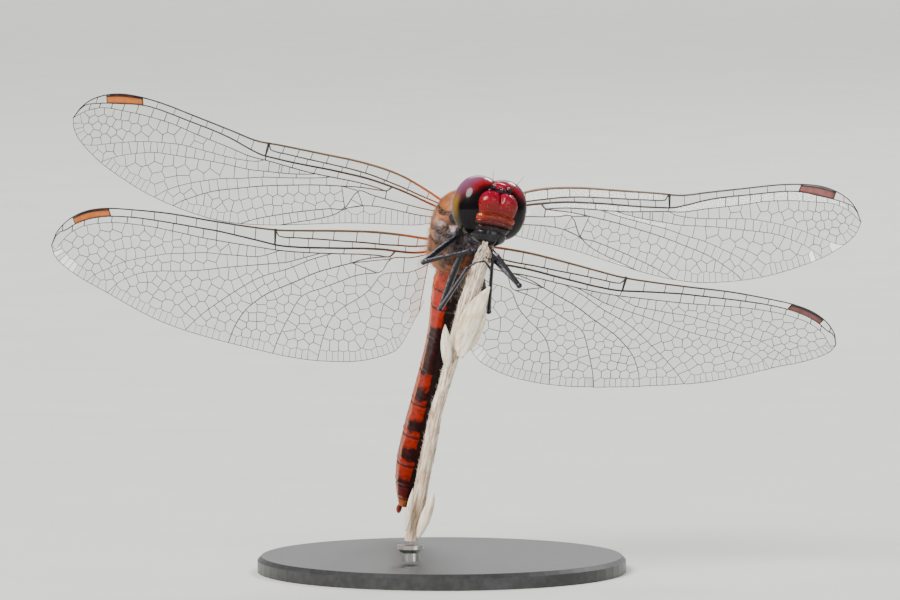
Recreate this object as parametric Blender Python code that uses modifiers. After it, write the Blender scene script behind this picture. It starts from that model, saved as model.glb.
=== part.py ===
"""A life-size red darter dragonfly (a male of the genus Sympetrum) that grips the dry tip of a
grass stem. The stem's cut end stands on the short rod of a small display stand.

Lengths here are in millimetres and are turned into metres as each mesh is made. +Z is up, the
origin is the middle of the base's underside, and the animal looks towards -Y. Left and right
are the dragonfly's own.
"""
import math

import bmesh
import bpy
from mathutils import Matrix, Vector
from mathutils.bvhtree import BVHTree
from mathutils.geometry import intersect_point_line

MM = 0.001
GAP = 0.3                       # left between neighbouring solids

# ---- the body's driving sizes ----
HEAD_WIDTH = 5.75
EYE_RADII = Vector((1.9, 1.62, 2.28))          # across, fore and aft, up
EYE_OUT = HEAD_WIDTH / 2 - EYE_RADII.x
THORAX_LENGTH = 7.4
THORAX_HALF_WIDTH = 2.45
THORAX_HALF_HEIGHT = 3.15
THORAX_SLANT = math.radians(24)                # its upper half leans back by this
FOREWING_LENGTH = 29.0
HINDWING_LENGTH = 29.2
WING_THICKNESS = 0.5
LEG_THICKNESS = 0.5                            # the thinnest part of a leg

# ---- the pose ----
HEAD_AT = Vector((3.5, -8.0, 27.9))
HEAD_FORWARD = Vector((0.39, -0.918, 0.064))
HEAD_UP = Vector((0.156, 0.135, 0.978))
THORAX_AT = Vector((1.56, -2.9, 26.16))
BODY_FORWARD = Vector((0.15, -0.603, 0.784))
BODY_RIGHT = Vector((-0.987, -0.051, 0.15))
ABDOMEN_BASE = Vector((0.86, -0.1, 22.55))
ABDOMEN_TIP = Vector((-2.78, 12.5, 3.95))      # the end of segment 10

# ---- the stem and the stand ----
STEM_ROUTE = (                                 # x, y, z and radius, from the cut end up
    (-2.33, -6.76, 3.0, 0.46), (-2.07, -6.78, 4.2, 0.48), (-1.70, -6.86, 6.1, 0.52),
    (-1.00, -7.05, 9.9, 0.50), (-0.35, -7.24, 12.9, 0.47), (0.33, -7.50, 15.2, 0.46),
    (0.93, -7.75, 17.4, 0.50), (1.52, -7.97, 19.7, 0.60), (2.27, -8.21, 22.0, 0.62),
    (2.88, -8.38, 23.8, 0.52), (3.24, -8.47, 24.9, 0.36))
BASE_RADIUS = 14.0
BASE_HEIGHT = 1.2
BASE_BEVEL = 0.3
ROD_RADIUS = 0.7
ROD_RIM = 1.0                                  # the stem's foot stands on the rod's wider top

COLOURS = {
    # name: red, green, blue, roughness, metallic
    "eye": (0.10, 0.015, 0.025, 0.15, 0.0),
    "face": (0.38, 0.012, 0.010, 0.35, 0.0),
    "face_dark": (0.02, 0.010, 0.010, 0.35, 0.0),
    "thorax": (0.22, 0.075, 0.025, 0.55, 0.0),
    "abdomen": (0.42, 0.028, 0.012, 0.35, 0.0),
    "leg": (0.012, 0.012, 0.016, 0.35, 0.0),
    "wing": (0.55, 0.58, 0.50, 0.20, 0.0),
    "straw": (0.62, 0.48, 0.32, 0.75, 0.0),
    "stand": (0.03, 0.03, 0.032, 0.45, 0.0),
    "metal": (0.55, 0.54, 0.52, 0.30, 1.0),
}


SHAPES = {}                     # the millimetre shape of each mesh, by name, to keep clear of


# ---- tools ----

def clear_scene():
    for item in list(bpy.data.objects):
        bpy.data.objects.remove(item, do_unlink=True)


def collection(name):
    found = bpy.data.collections.new(name)
    bpy.context.scene.collection.children.link(found)
    return found


def material(name):
    found = bpy.data.materials.get(name)
    if found:
        return found
    red, green, blue, roughness, metallic = COLOURS[name]
    made = bpy.data.materials.new(name)
    made.use_nodes = True
    shader = made.node_tree.nodes["Principled BSDF"]
    shader.inputs["Base Color"].default_value = (red, green, blue, 1.0)
    shader.inputs["Roughness"].default_value = roughness
    shader.inputs["Metallic"].default_value = metallic
    made.diffuse_color = (red, green, blue, 1.0)
    return made


def axes(origin, right, forward, up):
    """The matrix that takes (right, forward, up) millimetres to the model's own."""
    turned = Matrix((right, forward, up)).transposed().to_4x4()
    return Matrix.Translation(origin) @ turned


def squared(forward, up):
    """Right, forward and up as unit vectors at right angles, from a forward and a rough up."""
    forward = forward.normalized()
    up = (up - forward * up.dot(forward)).normalized()
    return forward.cross(up), forward, up


def add_mesh(name, bm, colour, smooth_angle=40.0, group="dragonfly"):
    bmesh.ops.recalc_face_normals(bm, faces=bm.faces)
    SHAPES[name] = BVHTree.FromBMesh(bm)
    bmesh.ops.scale(bm, vec=(MM, MM, MM), verts=bm.verts)
    mesh = bpy.data.meshes.new(name)
    bm.to_mesh(mesh)
    bm.free()
    made = bpy.data.objects.new(name, mesh)
    bpy.data.collections[group].objects.link(made)
    if colour:
        mesh.materials.append(material(colour))
    mesh.shade_smooth()
    mesh.set_sharp_from_angle(angle=math.radians(smooth_angle))
    return made


def ball(frame, centre, radii, segments=20, rings=12):
    """A bmesh ellipsoid at a place in a body frame, its poles fore and aft."""
    bm = bmesh.new()
    bmesh.ops.create_uvsphere(bm, u_segments=segments, v_segments=rings, radius=1.0)
    bmesh.ops.rotate(bm, cent=(0, 0, 0), matrix=Matrix.Rotation(math.pi / 2, 3, "X"), verts=bm.verts)
    bmesh.ops.scale(bm, vec=radii, verts=bm.verts)
    bmesh.ops.translate(bm, vec=centre, verts=bm.verts)
    bmesh.ops.transform(bm, matrix=frame, verts=bm.verts)
    return bm


def cut(piece, cutter_bm):
    """Takes a closed shape out of a piece with a Boolean."""
    cutter = add_mesh(f"cutter_{len(bpy.data.collections['cutters'].objects)}", cutter_bm, None,
                      group="cutters")
    cutter.hide_render = True
    cutter.display_type = "WIRE"
    step = piece.modifiers.new("cut", "BOOLEAN")
    step.operation = "DIFFERENCE"
    step.solver = "EXACT"
    step.object = cutter


def loft(rings):
    """A closed bmesh through rings of equally many points, capped at both ends."""
    bm = bmesh.new()
    rows = [[bm.verts.new(point) for point in ring] for ring in rings]
    count = len(rows[0])
    for row, after in zip(rows, rows[1:]):
        for i in range(count):
            j = (i + 1) % count
            bm.faces.new((row[i], row[j], after[j], after[i]))
    bm.faces.new(rows[0][::-1])
    bm.faces.new(rows[-1])
    return bm


def tube(name, points, radii, colour, sides=6):
    """A round tapered tube: a curve with a bevel, its radius set at each point."""
    curve = bpy.data.curves.new(name, "CURVE")
    curve.dimensions = "3D"
    curve.bevel_depth = MM
    curve.bevel_resolution = max(0, (sides - 4) // 2)
    curve.use_fill_caps = True
    curve.resolution_u = 1
    curve.render_resolution_u = 0
    spline = curve.splines.new("POLY")
    spline.points.add(len(points) - 1)
    for knot, point, radius in zip(spline.points, points, radii):
        knot.co = (point[0] * MM, point[1] * MM, point[2] * MM, 1.0)
        knot.radius = radius
    curve.materials.append(material(colour))
    made = bpy.data.objects.new(name, curve)
    bpy.data.collections["dragonfly"].objects.link(made)
    return made


def smooth_path(points, steps):
    """Points along a Catmull-Rom curve through the given tuples, of any number of values."""
    ends = [points[0]] + list(points) + [points[-1]]
    path = []
    for before, a, b, after in zip(ends, ends[1:], ends[2:], ends[3:]):
        for i in range(steps):
            t = i / steps
            path.append(tuple(
                0.5 * (2 * q + (r - p) * t + (2 * p - 5 * q + 4 * r - s) * t ** 2
                       + (3 * q - p - 3 * r + s) * t ** 3)
                for p, q, r, s in zip(before, a, b, after)))
    path.append(tuple(points[-1]))
    return path


def clear_start(path, blockers, clearance, steps=120):
    """How far back along path, a function of 0 to 1, a piece can begin before it nears a blocker."""
    kept = 1.0
    for i in range(steps, -1, -1):
        here = path(i / steps)
        if any(tree.find_nearest(here, clearance)[3] is not None for tree in blockers):
            return kept
        kept = i / steps
    return 0.0


def along(table, x):
    """The smooth value at x of a table of (x, value) rows."""
    for (x0, y0), (x1, y1) in zip(table, table[1:]):
        if x <= x1:
            break
    i = table.index((x0, y0))
    before = table[max(0, i - 1)]
    after = table[min(len(table) - 1, i + 2)]
    slope0 = (y1 - before[1]) / (x1 - before[0])
    slope1 = (after[1] - y0) / (after[0] - x0)
    width = x1 - x0
    t = min(1.0, max(0.0, (x - x0) / width))
    return ((2 * t ** 3 - 3 * t ** 2 + 1) * y0 + (t ** 3 - 2 * t ** 2 + t) * width * slope0
            + (3 * t ** 2 - 2 * t ** 3) * y1 + (t ** 3 - t ** 2) * width * slope1)


# ---- head ----

HEAD_FRAME = axes(HEAD_AT, *squared(HEAD_FORWARD, HEAD_UP))
EYE_AT = Vector((EYE_OUT, 0.12, 0.19))
CAPSULE_AT = Vector((0, -0.7, 0.05))           # the back of the head, between and behind the eyes
CAPSULE_RADII = Vector((2.4, 1.05, 1.7))
# the face at rising heights: how far it reaches forward, and half its width
FACE_SHAPE = (
    (-1.85, 1.50, 1.15), (-1.45, 1.80, 1.42), (-1.22, 1.86, 1.54), (-0.85, 2.00, 1.68), (-0.35, 2.02, 1.66),
    (0.30, 2.25, 1.72), (0.75, 2.25, 1.64), (1.15, 2.05, 1.38), (1.38, 1.75, 1.00))
FACE_BACK = 0.3
FACE_POWER = 4                                 # two makes an oval plan, more a squarer one
FACE_COLUMNS = (1.0, 0.97, 0.9, 0.8, 0.66, 0.5, 0.34, 0.2, 0.1, 0.0)
FACE_STEP = 0.16
GROOVE_DEPTH = 0.3                             # between the two lobes of the forehead
GROOVE_WIDTH = 0.2
GROOVE_FROM = 0.35
FACE_CUT = 0.2
FACE_SLICES = {                                # bottom and top of each, from the head's middle
    "frons": (-0.35, 1.38),
    "clypeus": (-1.22, -0.35),
    "labrum": (-1.8, -1.22),
}
LABIUM_AT = Vector((0, 0.65, -1.82))
LABIUM_RADII = Vector((1.4, 1.15, 0.85))
LABIUM_TOP = -1.9
VERTEX_AT = Vector((0, 1.42, 1.66))
VERTEX_RADII = Vector((0.62, 0.42, 0.42))


def eye_ball(side, grow=0.0):
    centre = Vector((side * EYE_AT.x, EYE_AT.y, EYE_AT.z))
    return ball(HEAD_FRAME, centre, EYE_RADII + Vector((grow, grow, grow)), 18, 12)


def keep_between(bm, low, high):
    """Cuts a closed bmesh off level below and above, in the head's own frame."""
    up = HEAD_FRAME.to_3x3() @ Vector((0, 0, 1))
    for height, outward in ((low, -up), (high, up)):
        point = HEAD_FRAME @ Vector((0, 0, height))
        everything = bm.verts[:] + bm.edges[:] + bm.faces[:]
        bmesh.ops.bisect_plane(bm, geom=everything, plane_co=point, plane_no=outward, clear_outer=True)
        rim = [edge for edge in bm.edges if edge.is_boundary]
        if rim:
            bmesh.ops.edgeloop_fill(bm, edges=rim)
    return bm


def face_rings(low, high):
    """Level rings of the face, wide and blunt, with a groove down the forehead."""
    steps = max(2, round((high - low) / FACE_STEP))
    rings = []
    for i in range(steps + 1):
        height = low + (high - low) * i / steps
        front = along([(row[0], row[1]) for row in FACE_SHAPE], height)
        width = along([(row[0], row[2]) for row in FACE_SHAPE], height)
        depth = GROOVE_DEPTH * max(0.0, min(1.0, (height - GROOVE_FROM) / (1.15 - GROOVE_FROM)))
        ring = []
        for share in FACE_COLUMNS + tuple(-share for share in reversed(FACE_COLUMNS[:-1])):
            x = width * share
            y = FACE_BACK + (front - FACE_BACK) * (1 - abs(share) ** FACE_POWER) ** (1 / FACE_POWER)
            ring.append(HEAD_FRAME @ Vector((x, y - depth * math.exp(-(x / GROOVE_WIDTH) ** 2), height)))
        rings.append(ring)
    return rings


def make_head():
    add_mesh("head", ball(HEAD_FRAME, CAPSULE_AT, CAPSULE_RADII, 20, 10), "face_dark")
    grown = Vector((GAP, GAP, GAP))
    for side, name in ((1, "right"), (-1, "left")):
        eye = add_mesh(f"eye_{name}", eye_ball(side), "eye")
        cut(eye, ball(HEAD_FRAME, CAPSULE_AT, CAPSULE_RADII + grown, 20, 10))
        # the eyes meet on the head's middle plane, where a thin cut parts them
        slab = bmesh.new()
        bmesh.ops.create_cube(slab, size=1.0)
        half = EYE_RADII.x * 2
        bmesh.ops.scale(slab, vec=(half, half * 4, half * 4), verts=slab.verts)
        bmesh.ops.translate(slab, vec=(-side * (half - FACE_CUT) / 2, 0, 0), verts=slab.verts)
        bmesh.ops.transform(slab, matrix=HEAD_FRAME, verts=slab.verts)
        cut(eye, slab)
    for name, (low, high) in FACE_SLICES.items():
        piece = add_mesh(name, loft(face_rings(low + FACE_CUT / 2, high - FACE_CUT / 2)), "face")
        cut(piece, ball(HEAD_FRAME, CAPSULE_AT, CAPSULE_RADII + grown, 20, 10))
        for side in (1, -1):
            cut(piece, eye_ball(side, FACE_CUT))
    labium = keep_between(ball(HEAD_FRAME, LABIUM_AT, LABIUM_RADII, 16, 8), -9, LABIUM_TOP)
    lip = add_mesh("labium", labium, "face_dark")
    for side in (1, -1):
        cut(lip, eye_ball(side, FACE_CUT))
    knob = keep_between(ball(HEAD_FRAME, VERTEX_AT, VERTEX_RADII, 14, 8),
                        FACE_SLICES["frons"][1] + FACE_CUT / 2, 9)
    vertex = add_mesh("vertex", knob, "face")
    for side in (1, -1):
        cut(vertex, eye_ball(side, FACE_CUT))


def make_antennae():
    for side, name in ((1, "right"), (-1, "left")):
        route = ((0.82, 1.95, 1.7), (1.02, 2.35, 2.15), (1.25, 2.8, 2.75))
        points = [HEAD_FRAME @ Vector((side * x, y, z)) for x, y, z in route]
        tube(f"antenna_{name}", points, (0.25, 0.25, 0.25), "leg")


# ---- thorax ----

BODY_AXES = squared(BODY_FORWARD, BODY_FORWARD.cross(-BODY_RIGHT))
THORAX_FRAME = axes(THORAX_AT, *BODY_AXES)
# place along the thorax from its front, then half width, top and bottom, as shares of full size
THORAX_SHAPE = (
    (0.00, 0.42, 0.38, 0.12), (0.06, 0.66, 0.66, 0.22), (0.16, 0.84, 0.88, 0.46),
    (0.30, 0.96, 1.00, 0.78), (0.46, 1.00, 1.00, 0.97), (0.62, 0.99, 0.98, 0.98),
    (0.78, 0.93, 0.96, 0.88), (0.90, 0.78, 0.82, 0.70), (1.00, 0.54, 0.52, 0.44))
THORAX_SIDES = 20
THORAX_SQUARENESS = 0.86
THORAX_NARROWING = 0.6
PROTHORAX_AT = Vector((0.0, 3.2, -1.5))
PROTHORAX_RADII = Vector((0.78, 1.0, 1.05))


def thorax_rings(grow=0.0):
    """Slanted rings, wide low down and narrow at the wings, which join their top."""
    rings = []
    for station, width, top, bottom in THORAX_SHAPE:
        place = THORAX_LENGTH * (0.5 - station) + grow * (1 - 2 * station)
        ring = []
        for i in range(THORAX_SIDES):
            angle = math.tau * i / THORAX_SIDES
            out, up = (math.copysign(abs(part) ** THORAX_SQUARENESS, part)
                       for part in (math.cos(angle), math.sin(angle)))
            narrowing = 1.0 - THORAX_NARROWING * max(0.0, up) ** 1.5
            x = (THORAX_HALF_WIDTH * width * narrowing + grow) * out
            z = (THORAX_HALF_HEIGHT * (top if up > 0 else bottom) + grow) * up
            ring.append(THORAX_FRAME @ Vector((x, place - z * math.tan(THORAX_SLANT), z)))
        rings.append(ring)
    return rings


def make_thorax():
    add_mesh("thorax", loft(thorax_rings()), "thorax", 60)


def make_prothorax():
    """The short first ring of the thorax, tucked between the rest of it and the head."""
    piece = add_mesh("prothorax", ball(THORAX_FRAME, PROTHORAX_AT, PROTHORAX_RADII, 14, 8), "thorax")
    cut(piece, loft(thorax_rings(GAP)))
    cut(piece, ball(HEAD_FRAME, CAPSULE_AT, CAPSULE_RADII + Vector((GAP, GAP, GAP)), 20, 10))


# ---- wings ----

# the front edge and the rear edge, in wing lengths, at places along the front edge's line
FOREWING_FRONT = ((0.0, 0.0), (0.06, -0.015), (0.15, -0.031), (0.25, -0.029), (0.36, -0.015),
                  (0.47, 0.0), (0.53, 0.009), (0.6, 0.006), (0.7, 0.002), (0.8, -0.001),
                  (0.88, 0.006), (0.93, 0.022), (0.97, 0.053), (1.0, 0.105))
FOREWING_REAR = ((0.0, 0.060), (0.1, 0.090), (0.23, 0.130), (0.35, 0.176), (0.45, 0.212),
                 (0.55, 0.236), (0.65, 0.241), (0.75, 0.233), (0.83, 0.216), (0.9, 0.194),
                 (0.96, 0.163), (1.0, 0.118))
HINDWING_FRONT = ((0.0, 0.0), (0.15, -0.005), (0.25, 0.0), (0.36, 0.009), (0.42, 0.013),
                  (0.51, 0.010), (0.6, 0.004), (0.7, -0.004), (0.8, -0.005), (0.87, -0.002),
                  (0.92, 0.010), (0.96, 0.034), (0.985, 0.060), (1.0, 0.100))
HINDWING_REAR = ((0.0, 0.170), (0.012, 0.226), (0.045, 0.272), (0.1, 0.306), (0.17, 0.330),
                 (0.25, 0.339), (0.33, 0.339), (0.42, 0.329), (0.6, 0.300), (0.72, 0.268),
                 (0.86, 0.207), (0.92, 0.180), (0.965, 0.153), (1.0, 0.112))
# name: kind, hinge, direction of the front edge, tilt and twist of the wing about that edge
WINGS = {
    "forewing_right": ("fore", (0.55, -1.48, 27.96), (-0.936, -0.107, 0.336), 0, 0),
    "forewing_left": ("fore", (3.12, -1.68, 27.92), (0.966, -0.243, 0.080), 0, -9),
    "hindwing_right": ("hind", (-0.36, 0.63, 25.18), (-0.984, -0.150, 0.100), 0, 0),
    "hindwing_left": ("hind", (1.9, 0.41, 24.93), (0.981, 0.028, -0.189), 11, 30),
}
ROOT_TWIST = math.radians(34)                  # at its root a wing lies along the body
ROOT_SPAN = 0.1
ROOT_REACH = 0.2
CHORD_DOWN = Vector((0.0, -0.07, -0.998))
WING_SPANS = 22
WING_CHORDS = 4


def wing_point(kind, hinge, span, tilt, twist, x, share):
    """A point of a wing's middle sheet: x along the front edge, share from front to rear."""
    fore = kind == "fore"
    length = FOREWING_LENGTH if fore else HINDWING_LENGTH
    front = along(FOREWING_FRONT if fore else HINDWING_FRONT, x)
    rear = along(FOREWING_REAR if fore else HINDWING_REAR, x)
    span = Vector(span).normalized()
    across = (CHORD_DOWN - span * CHORD_DOWN.dot(span)).normalized()
    back = span.cross(across)
    back = back if back.y > 0 else -back
    ease = min(1.0, x / ROOT_SPAN)
    ease = ease * ease * (3 - 2 * ease)
    angle = math.radians(tilt + twist * x) + ROOT_TWIST * (1 - ease)
    across = across * math.cos(angle) + back * math.sin(angle)
    return Vector(hinge) + (span * x + across * (front + (rear - front) * share)) * length


def make_wings():
    for name, (kind, *pose) in WINGS.items():
        bm = bmesh.new()
        shares = [j / WING_CHORDS for j in range(WING_CHORDS + 1)]
        body = [SHAPES[piece] for piece in SHAPES if piece.startswith(("thorax", "abdomen"))]
        roots = [
            ROOT_REACH * clear_start(lambda t: wing_point(kind, *pose, t * ROOT_REACH, share),
                                     body, WING_THICKNESS / 2 + GAP)
            for share in shares]
        rows = []
        for i in range(WING_SPANS + 1):
            x = 0.5 - 0.5 * math.cos(math.pi * i / WING_SPANS)
            rows.append([bm.verts.new(wing_point(kind, *pose, root + (1 - root) * x, share))
                         for root, share in zip(roots, shares)])
        for row, after in zip(rows, rows[1:]):
            for j in range(WING_CHORDS):
                bm.faces.new((row[j], row[j + 1], after[j + 1], after[j]))
        wing = add_mesh(name, bm, "wing", 60)
        thick = wing.modifiers.new("thickness", "SOLIDIFY")
        thick.thickness = WING_THICKNESS * MM
        thick.offset = 0.0


# ---- legs ----

# name: the joint with the body in the thorax's frame, then knee, ankle and claw in the model's
LEGS = {
    "foreleg_right": ((1.2, 2.9, -2.4), (1.3, -6.7, 29.0), (1.0, -7.0, 27.5), (1.25, -7.6, 26.5)),
    "foreleg_left": ((-1.5, 2.4, -2.3), (3.9, -5.1, 29.2), (4.4, -5.6, 27.0), (4.4, -6.3, 25.9)),
    "midleg_right": ((0.4, 1.9, -3.0), (-1.35, -9.47, 24.14), (2.2, -9.4, 25.0), (3.1, -9.6, 24.8)),
    "midleg_left": ((-0.9, 1.9, -2.95), (5.77, -9.59, 22.4), (4.1, -9.5, 24.75), (3.4, -9.8, 25.3)),
    "hindleg_right": ((0.35, 0.95, -3.1), (-0.09, -3.3, 20.25), (1.95, -9.2, 23.7), (3.05, -9.7, 23.95)),
    "hindleg_left": ((-0.8, 0.9, -3.0), (3.53, -3.3, 20.02), (3.75, -8.1, 23.2), (3.85, -8.75, 24.0)),
}
FEMUR_RADII = (0.30, 0.38, 0.34, 0.27)


def make_legs():
    thin = LEG_THICKNESS / 2
    trunk = [SHAPES["thorax"], SHAPES["prothorax"]]
    for name, points in LEGS.items():
        hip, knee, ankle, claw = (Vector(point) for point in points)
        hip = THORAX_FRAME @ hip
        root = clear_start(lambda t: hip.lerp(knee, t), trunk, FEMUR_RADII[0] + FACE_CUT)
        thigh = [hip.lerp(knee, root + (1 - root) * share) for share in (0.0, 0.35, 0.7, 1.0)]
        tube(f"{name}_femur", thigh, FEMUR_RADII, "leg")
        # the shin folds back beside the thigh, and starts where the two stand apart
        apart = max(FEMUR_RADII) + thin + FACE_CUT / 2
        start = next(ankle.lerp(knee, 1 - k / 60) for k in range(61)
                     if (ankle.lerp(knee, 1 - k / 60) - nearest_on(thigh, ankle.lerp(knee, 1 - k / 60))
                         ).length >= apart)
        lower = [start, start.lerp(ankle, 0.5), ankle, ankle.lerp(claw, 0.5), claw]
        tube(f"{name}_tibia", lower, [thin] * 5, "leg")


def nearest_on(line, point):
    """The point of a straight leg nearest to another point."""
    share = intersect_point_line(point, line[0], line[-1])[1]
    return line[0].lerp(line[-1], min(1.0, max(0.0, share)))


# ---- abdomen ----

# length, half width and half height at each segment's front end, then the last one's rear
SEGMENTS = (
    (0.9, 1.10, 1.10), (1.8, 1.38, 1.35), (3.2, 1.28, 1.25), (3.3, 1.05, 0.95),
    (3.3, 1.10, 0.90), (3.2, 1.25, 0.95), (2.9, 1.40, 1.00), (2.1, 1.42, 1.00),
    (1.4, 1.20, 0.90), (0.9, 0.88, 0.72))
ABDOMEN_END = (0.62, 0.55)
SEGMENT_SIDES = 14
ABDOMEN_AXES = squared(ABDOMEN_BASE - ABDOMEN_TIP, BODY_AXES[2])


def abdomen_ring(distance, width, height):
    length = (ABDOMEN_TIP - ABDOMEN_BASE).length
    centre = ABDOMEN_BASE.lerp(ABDOMEN_TIP, distance / length)
    right, _, up = ABDOMEN_AXES
    ring = []
    for i in range(SEGMENT_SIDES):
        angle = math.tau * i / SEGMENT_SIDES
        ring.append(centre + right * (width * math.cos(angle)) + up * (height * math.sin(angle)))
    return ring


def make_abdomen():
    widths = [row[1:] for row in SEGMENTS] + [ABDOMEN_END]
    stretch = (ABDOMEN_TIP - ABDOMEN_BASE).length / sum(row[0] for row in SEGMENTS)
    stations = [(0.0, widths[0])]
    for row, size in zip(SEGMENTS, widths[1:]):
        stations.append((stations[-1][0] + row[0] * stretch, size))
    wide = [(place, size[0]) for place, size in stations]
    high = [(place, size[1]) for place, size in stations]
    for number in range(1, len(stations)):
        start = stations[number - 1][0] + GAP / 2
        end = stations[number][0] - GAP / 2
        steps = 3 if end - start > 1.2 else 2
        rings = []
        for i in range(steps + 1):
            place = start + (end - start) * i / steps
            rings.append(abdomen_ring(place, along(wide, place), along(high, place)))
        add_mesh(f"abdomen_s{number}", loft(rings), "abdomen", 50)


def make_cerci():
    right, forward, up = ABDOMEN_AXES
    for side, name in ((1, "right"), (-1, "left")):
        points = [
            ABDOMEN_TIP + right * (side * out) - forward * back + up * lift
            for back, out, lift in ((GAP, 0.36, 0.2), (0.8, 0.45, 0.26), (1.35, 0.4, 0.34))]
        tube(f"cercus_{name}", points, (0.25, 0.29, 0.25), "abdomen")


# ---- the stem and the stand ----

# name: foot and tip of each dry scale in front of the stem, its width and its bow forward
SCALES = {
    "perch_husk_upper": (Vector((1.38, -8.85, 16.98)), Vector((3.53, -9.4, 22.27)), 1.7, 0.15),
    "perch_husk_side": (Vector((0.41, -8.8, 16.16)), Vector((0.26, -9.15, 19.47)), 0.8, 0.1),
    "perch_glume_right": (Vector((-1.77, -7.85, 3.33)), Vector((-0.5, -7.95, 6.8)), 0.8, 0.1),
    "perch_glume_left": (Vector((-2.67, -7.75, 3.85)), Vector((-2.14, -7.85, 7.09)), 0.5, 0.05),
}
SCALE_THICKNESS = 0.5
SCALE_SIDES = 8
# share of the way from foot to tip, then the width there as a share of the whole
SCALE_SHAPE = ((0.0, 0.45), (0.2, 0.85), (0.4, 1.0), (0.6, 0.94), (0.8, 0.62), (1.0, 0.2))


def make_stem():
    path = smooth_path(STEM_ROUTE, 2)
    tube("perch_stem", [row[:3] for row in path], [row[3] for row in path], "straw", 8)
    for name, (foot, tip, width, bow) in SCALES.items():
        lengthwise = (tip - foot).normalized()
        outward = Vector((0.0, -1.0, 0.0))
        outward = (outward - lengthwise * outward.dot(lengthwise)).normalized()
        sideways = lengthwise.cross(outward)
        rings = []
        for share, size in SCALE_SHAPE:
            middle = foot.lerp(tip, share) + outward * (bow * math.sin(math.pi * share))
            ring = []
            for i in range(SCALE_SIDES):
                angle = math.tau * i / SCALE_SIDES
                ring.append(middle + sideways * (width / 2 * size * math.cos(angle))
                            + outward * (SCALE_THICKNESS / 2 * math.sin(angle)))
            rings.append(ring)
        add_mesh(name, loft(rings), "straw", 50)


def turned(name, profile, centre, colour, steps):
    """A solid turned from a profile of (radius, height), listed from the top down."""
    bm = bmesh.new()
    verts = [bm.verts.new((radius, 0.0, height)) for radius, height in profile]
    for a, b in zip(verts, verts[1:]):
        bm.edges.new((a, b))
    made = add_mesh(name, bm, colour, 30)
    made.location = Vector(centre) * MM
    screw = made.modifiers.new("turn", "SCREW")
    screw.steps = steps
    screw.render_steps = steps
    screw.use_merge_vertices = True
    screw.merge_threshold = 0.000001
    return made


def make_stand():
    turned("stand_base", (
        (0.0, BASE_HEIGHT), (BASE_RADIUS - BASE_BEVEL, BASE_HEIGHT),
        (BASE_RADIUS, BASE_HEIGHT - BASE_BEVEL), (BASE_RADIUS, 0.0), (0.0, 0.0)), (0, 0, 0), "stand", 64)
    foot = Vector(STEM_ROUTE[0][:3])
    rod_foot = BASE_HEIGHT + GAP
    tall = foot.z - GAP - rod_foot
    turned("stand_rod", (
        (0.0, tall), (ROD_RIM, tall), (ROD_RIM, tall * 0.75), (ROD_RADIUS, tall * 0.5),
        (ROD_RADIUS, 0.0), (0.0, 0.0)), (foot.x, foot.y, rod_foot), "metal", 24)


def main():
    clear_scene()
    collection("dragonfly")
    collection("cutters").hide_render = True
    make_head()
    make_antennae()
    make_thorax()
    make_prothorax()
    make_abdomen()
    make_wings()
    make_legs()
    make_cerci()
    make_stem()
    make_stand()


main()
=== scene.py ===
"""The looks of the red darter dragonfly: skins, veined wings, spined legs, hair and dry straw
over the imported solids. Lengths here are millimetres until a mesh is made, in metres."""
import math
import random

import bpy
from mathutils import Matrix, Vector, noise


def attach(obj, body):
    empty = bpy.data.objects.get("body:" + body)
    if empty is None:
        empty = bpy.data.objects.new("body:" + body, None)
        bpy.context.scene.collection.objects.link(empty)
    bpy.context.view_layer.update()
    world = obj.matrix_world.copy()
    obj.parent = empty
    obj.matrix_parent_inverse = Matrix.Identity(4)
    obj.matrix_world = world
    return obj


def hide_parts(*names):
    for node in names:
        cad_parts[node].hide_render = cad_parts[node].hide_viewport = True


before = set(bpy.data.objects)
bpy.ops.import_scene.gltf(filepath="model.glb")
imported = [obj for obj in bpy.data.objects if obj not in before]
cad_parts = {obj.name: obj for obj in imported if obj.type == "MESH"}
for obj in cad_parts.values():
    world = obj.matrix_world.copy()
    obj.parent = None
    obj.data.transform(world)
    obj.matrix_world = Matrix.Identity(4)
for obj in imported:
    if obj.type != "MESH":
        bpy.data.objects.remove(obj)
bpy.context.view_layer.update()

MM = 0.001
rng = random.Random(7)
HAIR_MARKS = [0.0] * 3 + [0.5] * 3 + [1.0]     # a hair's mark at its root, middle and tip
THIRDS = (0.0, 2.094, 4.189)                   # the corners of a hair's triangle
PATCH = 0.0015                                 # half the width of a hair's patch in OFBake


# ---- frames shared with the solids ----

def squared(forward, up):
    """Right, forward and up directions, with up turned square to forward."""
    forward = forward.normalized()
    up = (up - forward * up.dot(forward)).normalized()
    return forward.cross(up), forward, up


def axes(origin, right, forward, up):
    return Matrix.Translation(origin) @ Matrix((right, forward, up)).transposed().to_4x4()


HEAD = axes(Vector((3.5, -8.0, 27.9)),
            *squared(Vector((0.39, -0.918, 0.064)), Vector((0.156, 0.135, 0.978))))
BODY_FORWARD = Vector((0.15, -0.603, 0.784))
BODY_AXES = squared(BODY_FORWARD, BODY_FORWARD.cross(Vector((0.987, 0.051, -0.15))))
THORAX = axes(Vector((1.56, -2.9, 26.16)), *BODY_AXES)
TAIL_BASE = Vector((0.86, -0.1, 22.55))
TAIL_TIP = Vector((-2.78, 12.5, 3.95))
TAIL_AXES = squared(TAIL_BASE - TAIL_TIP, BODY_AXES[2])


# ---- mesh tools ----

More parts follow.
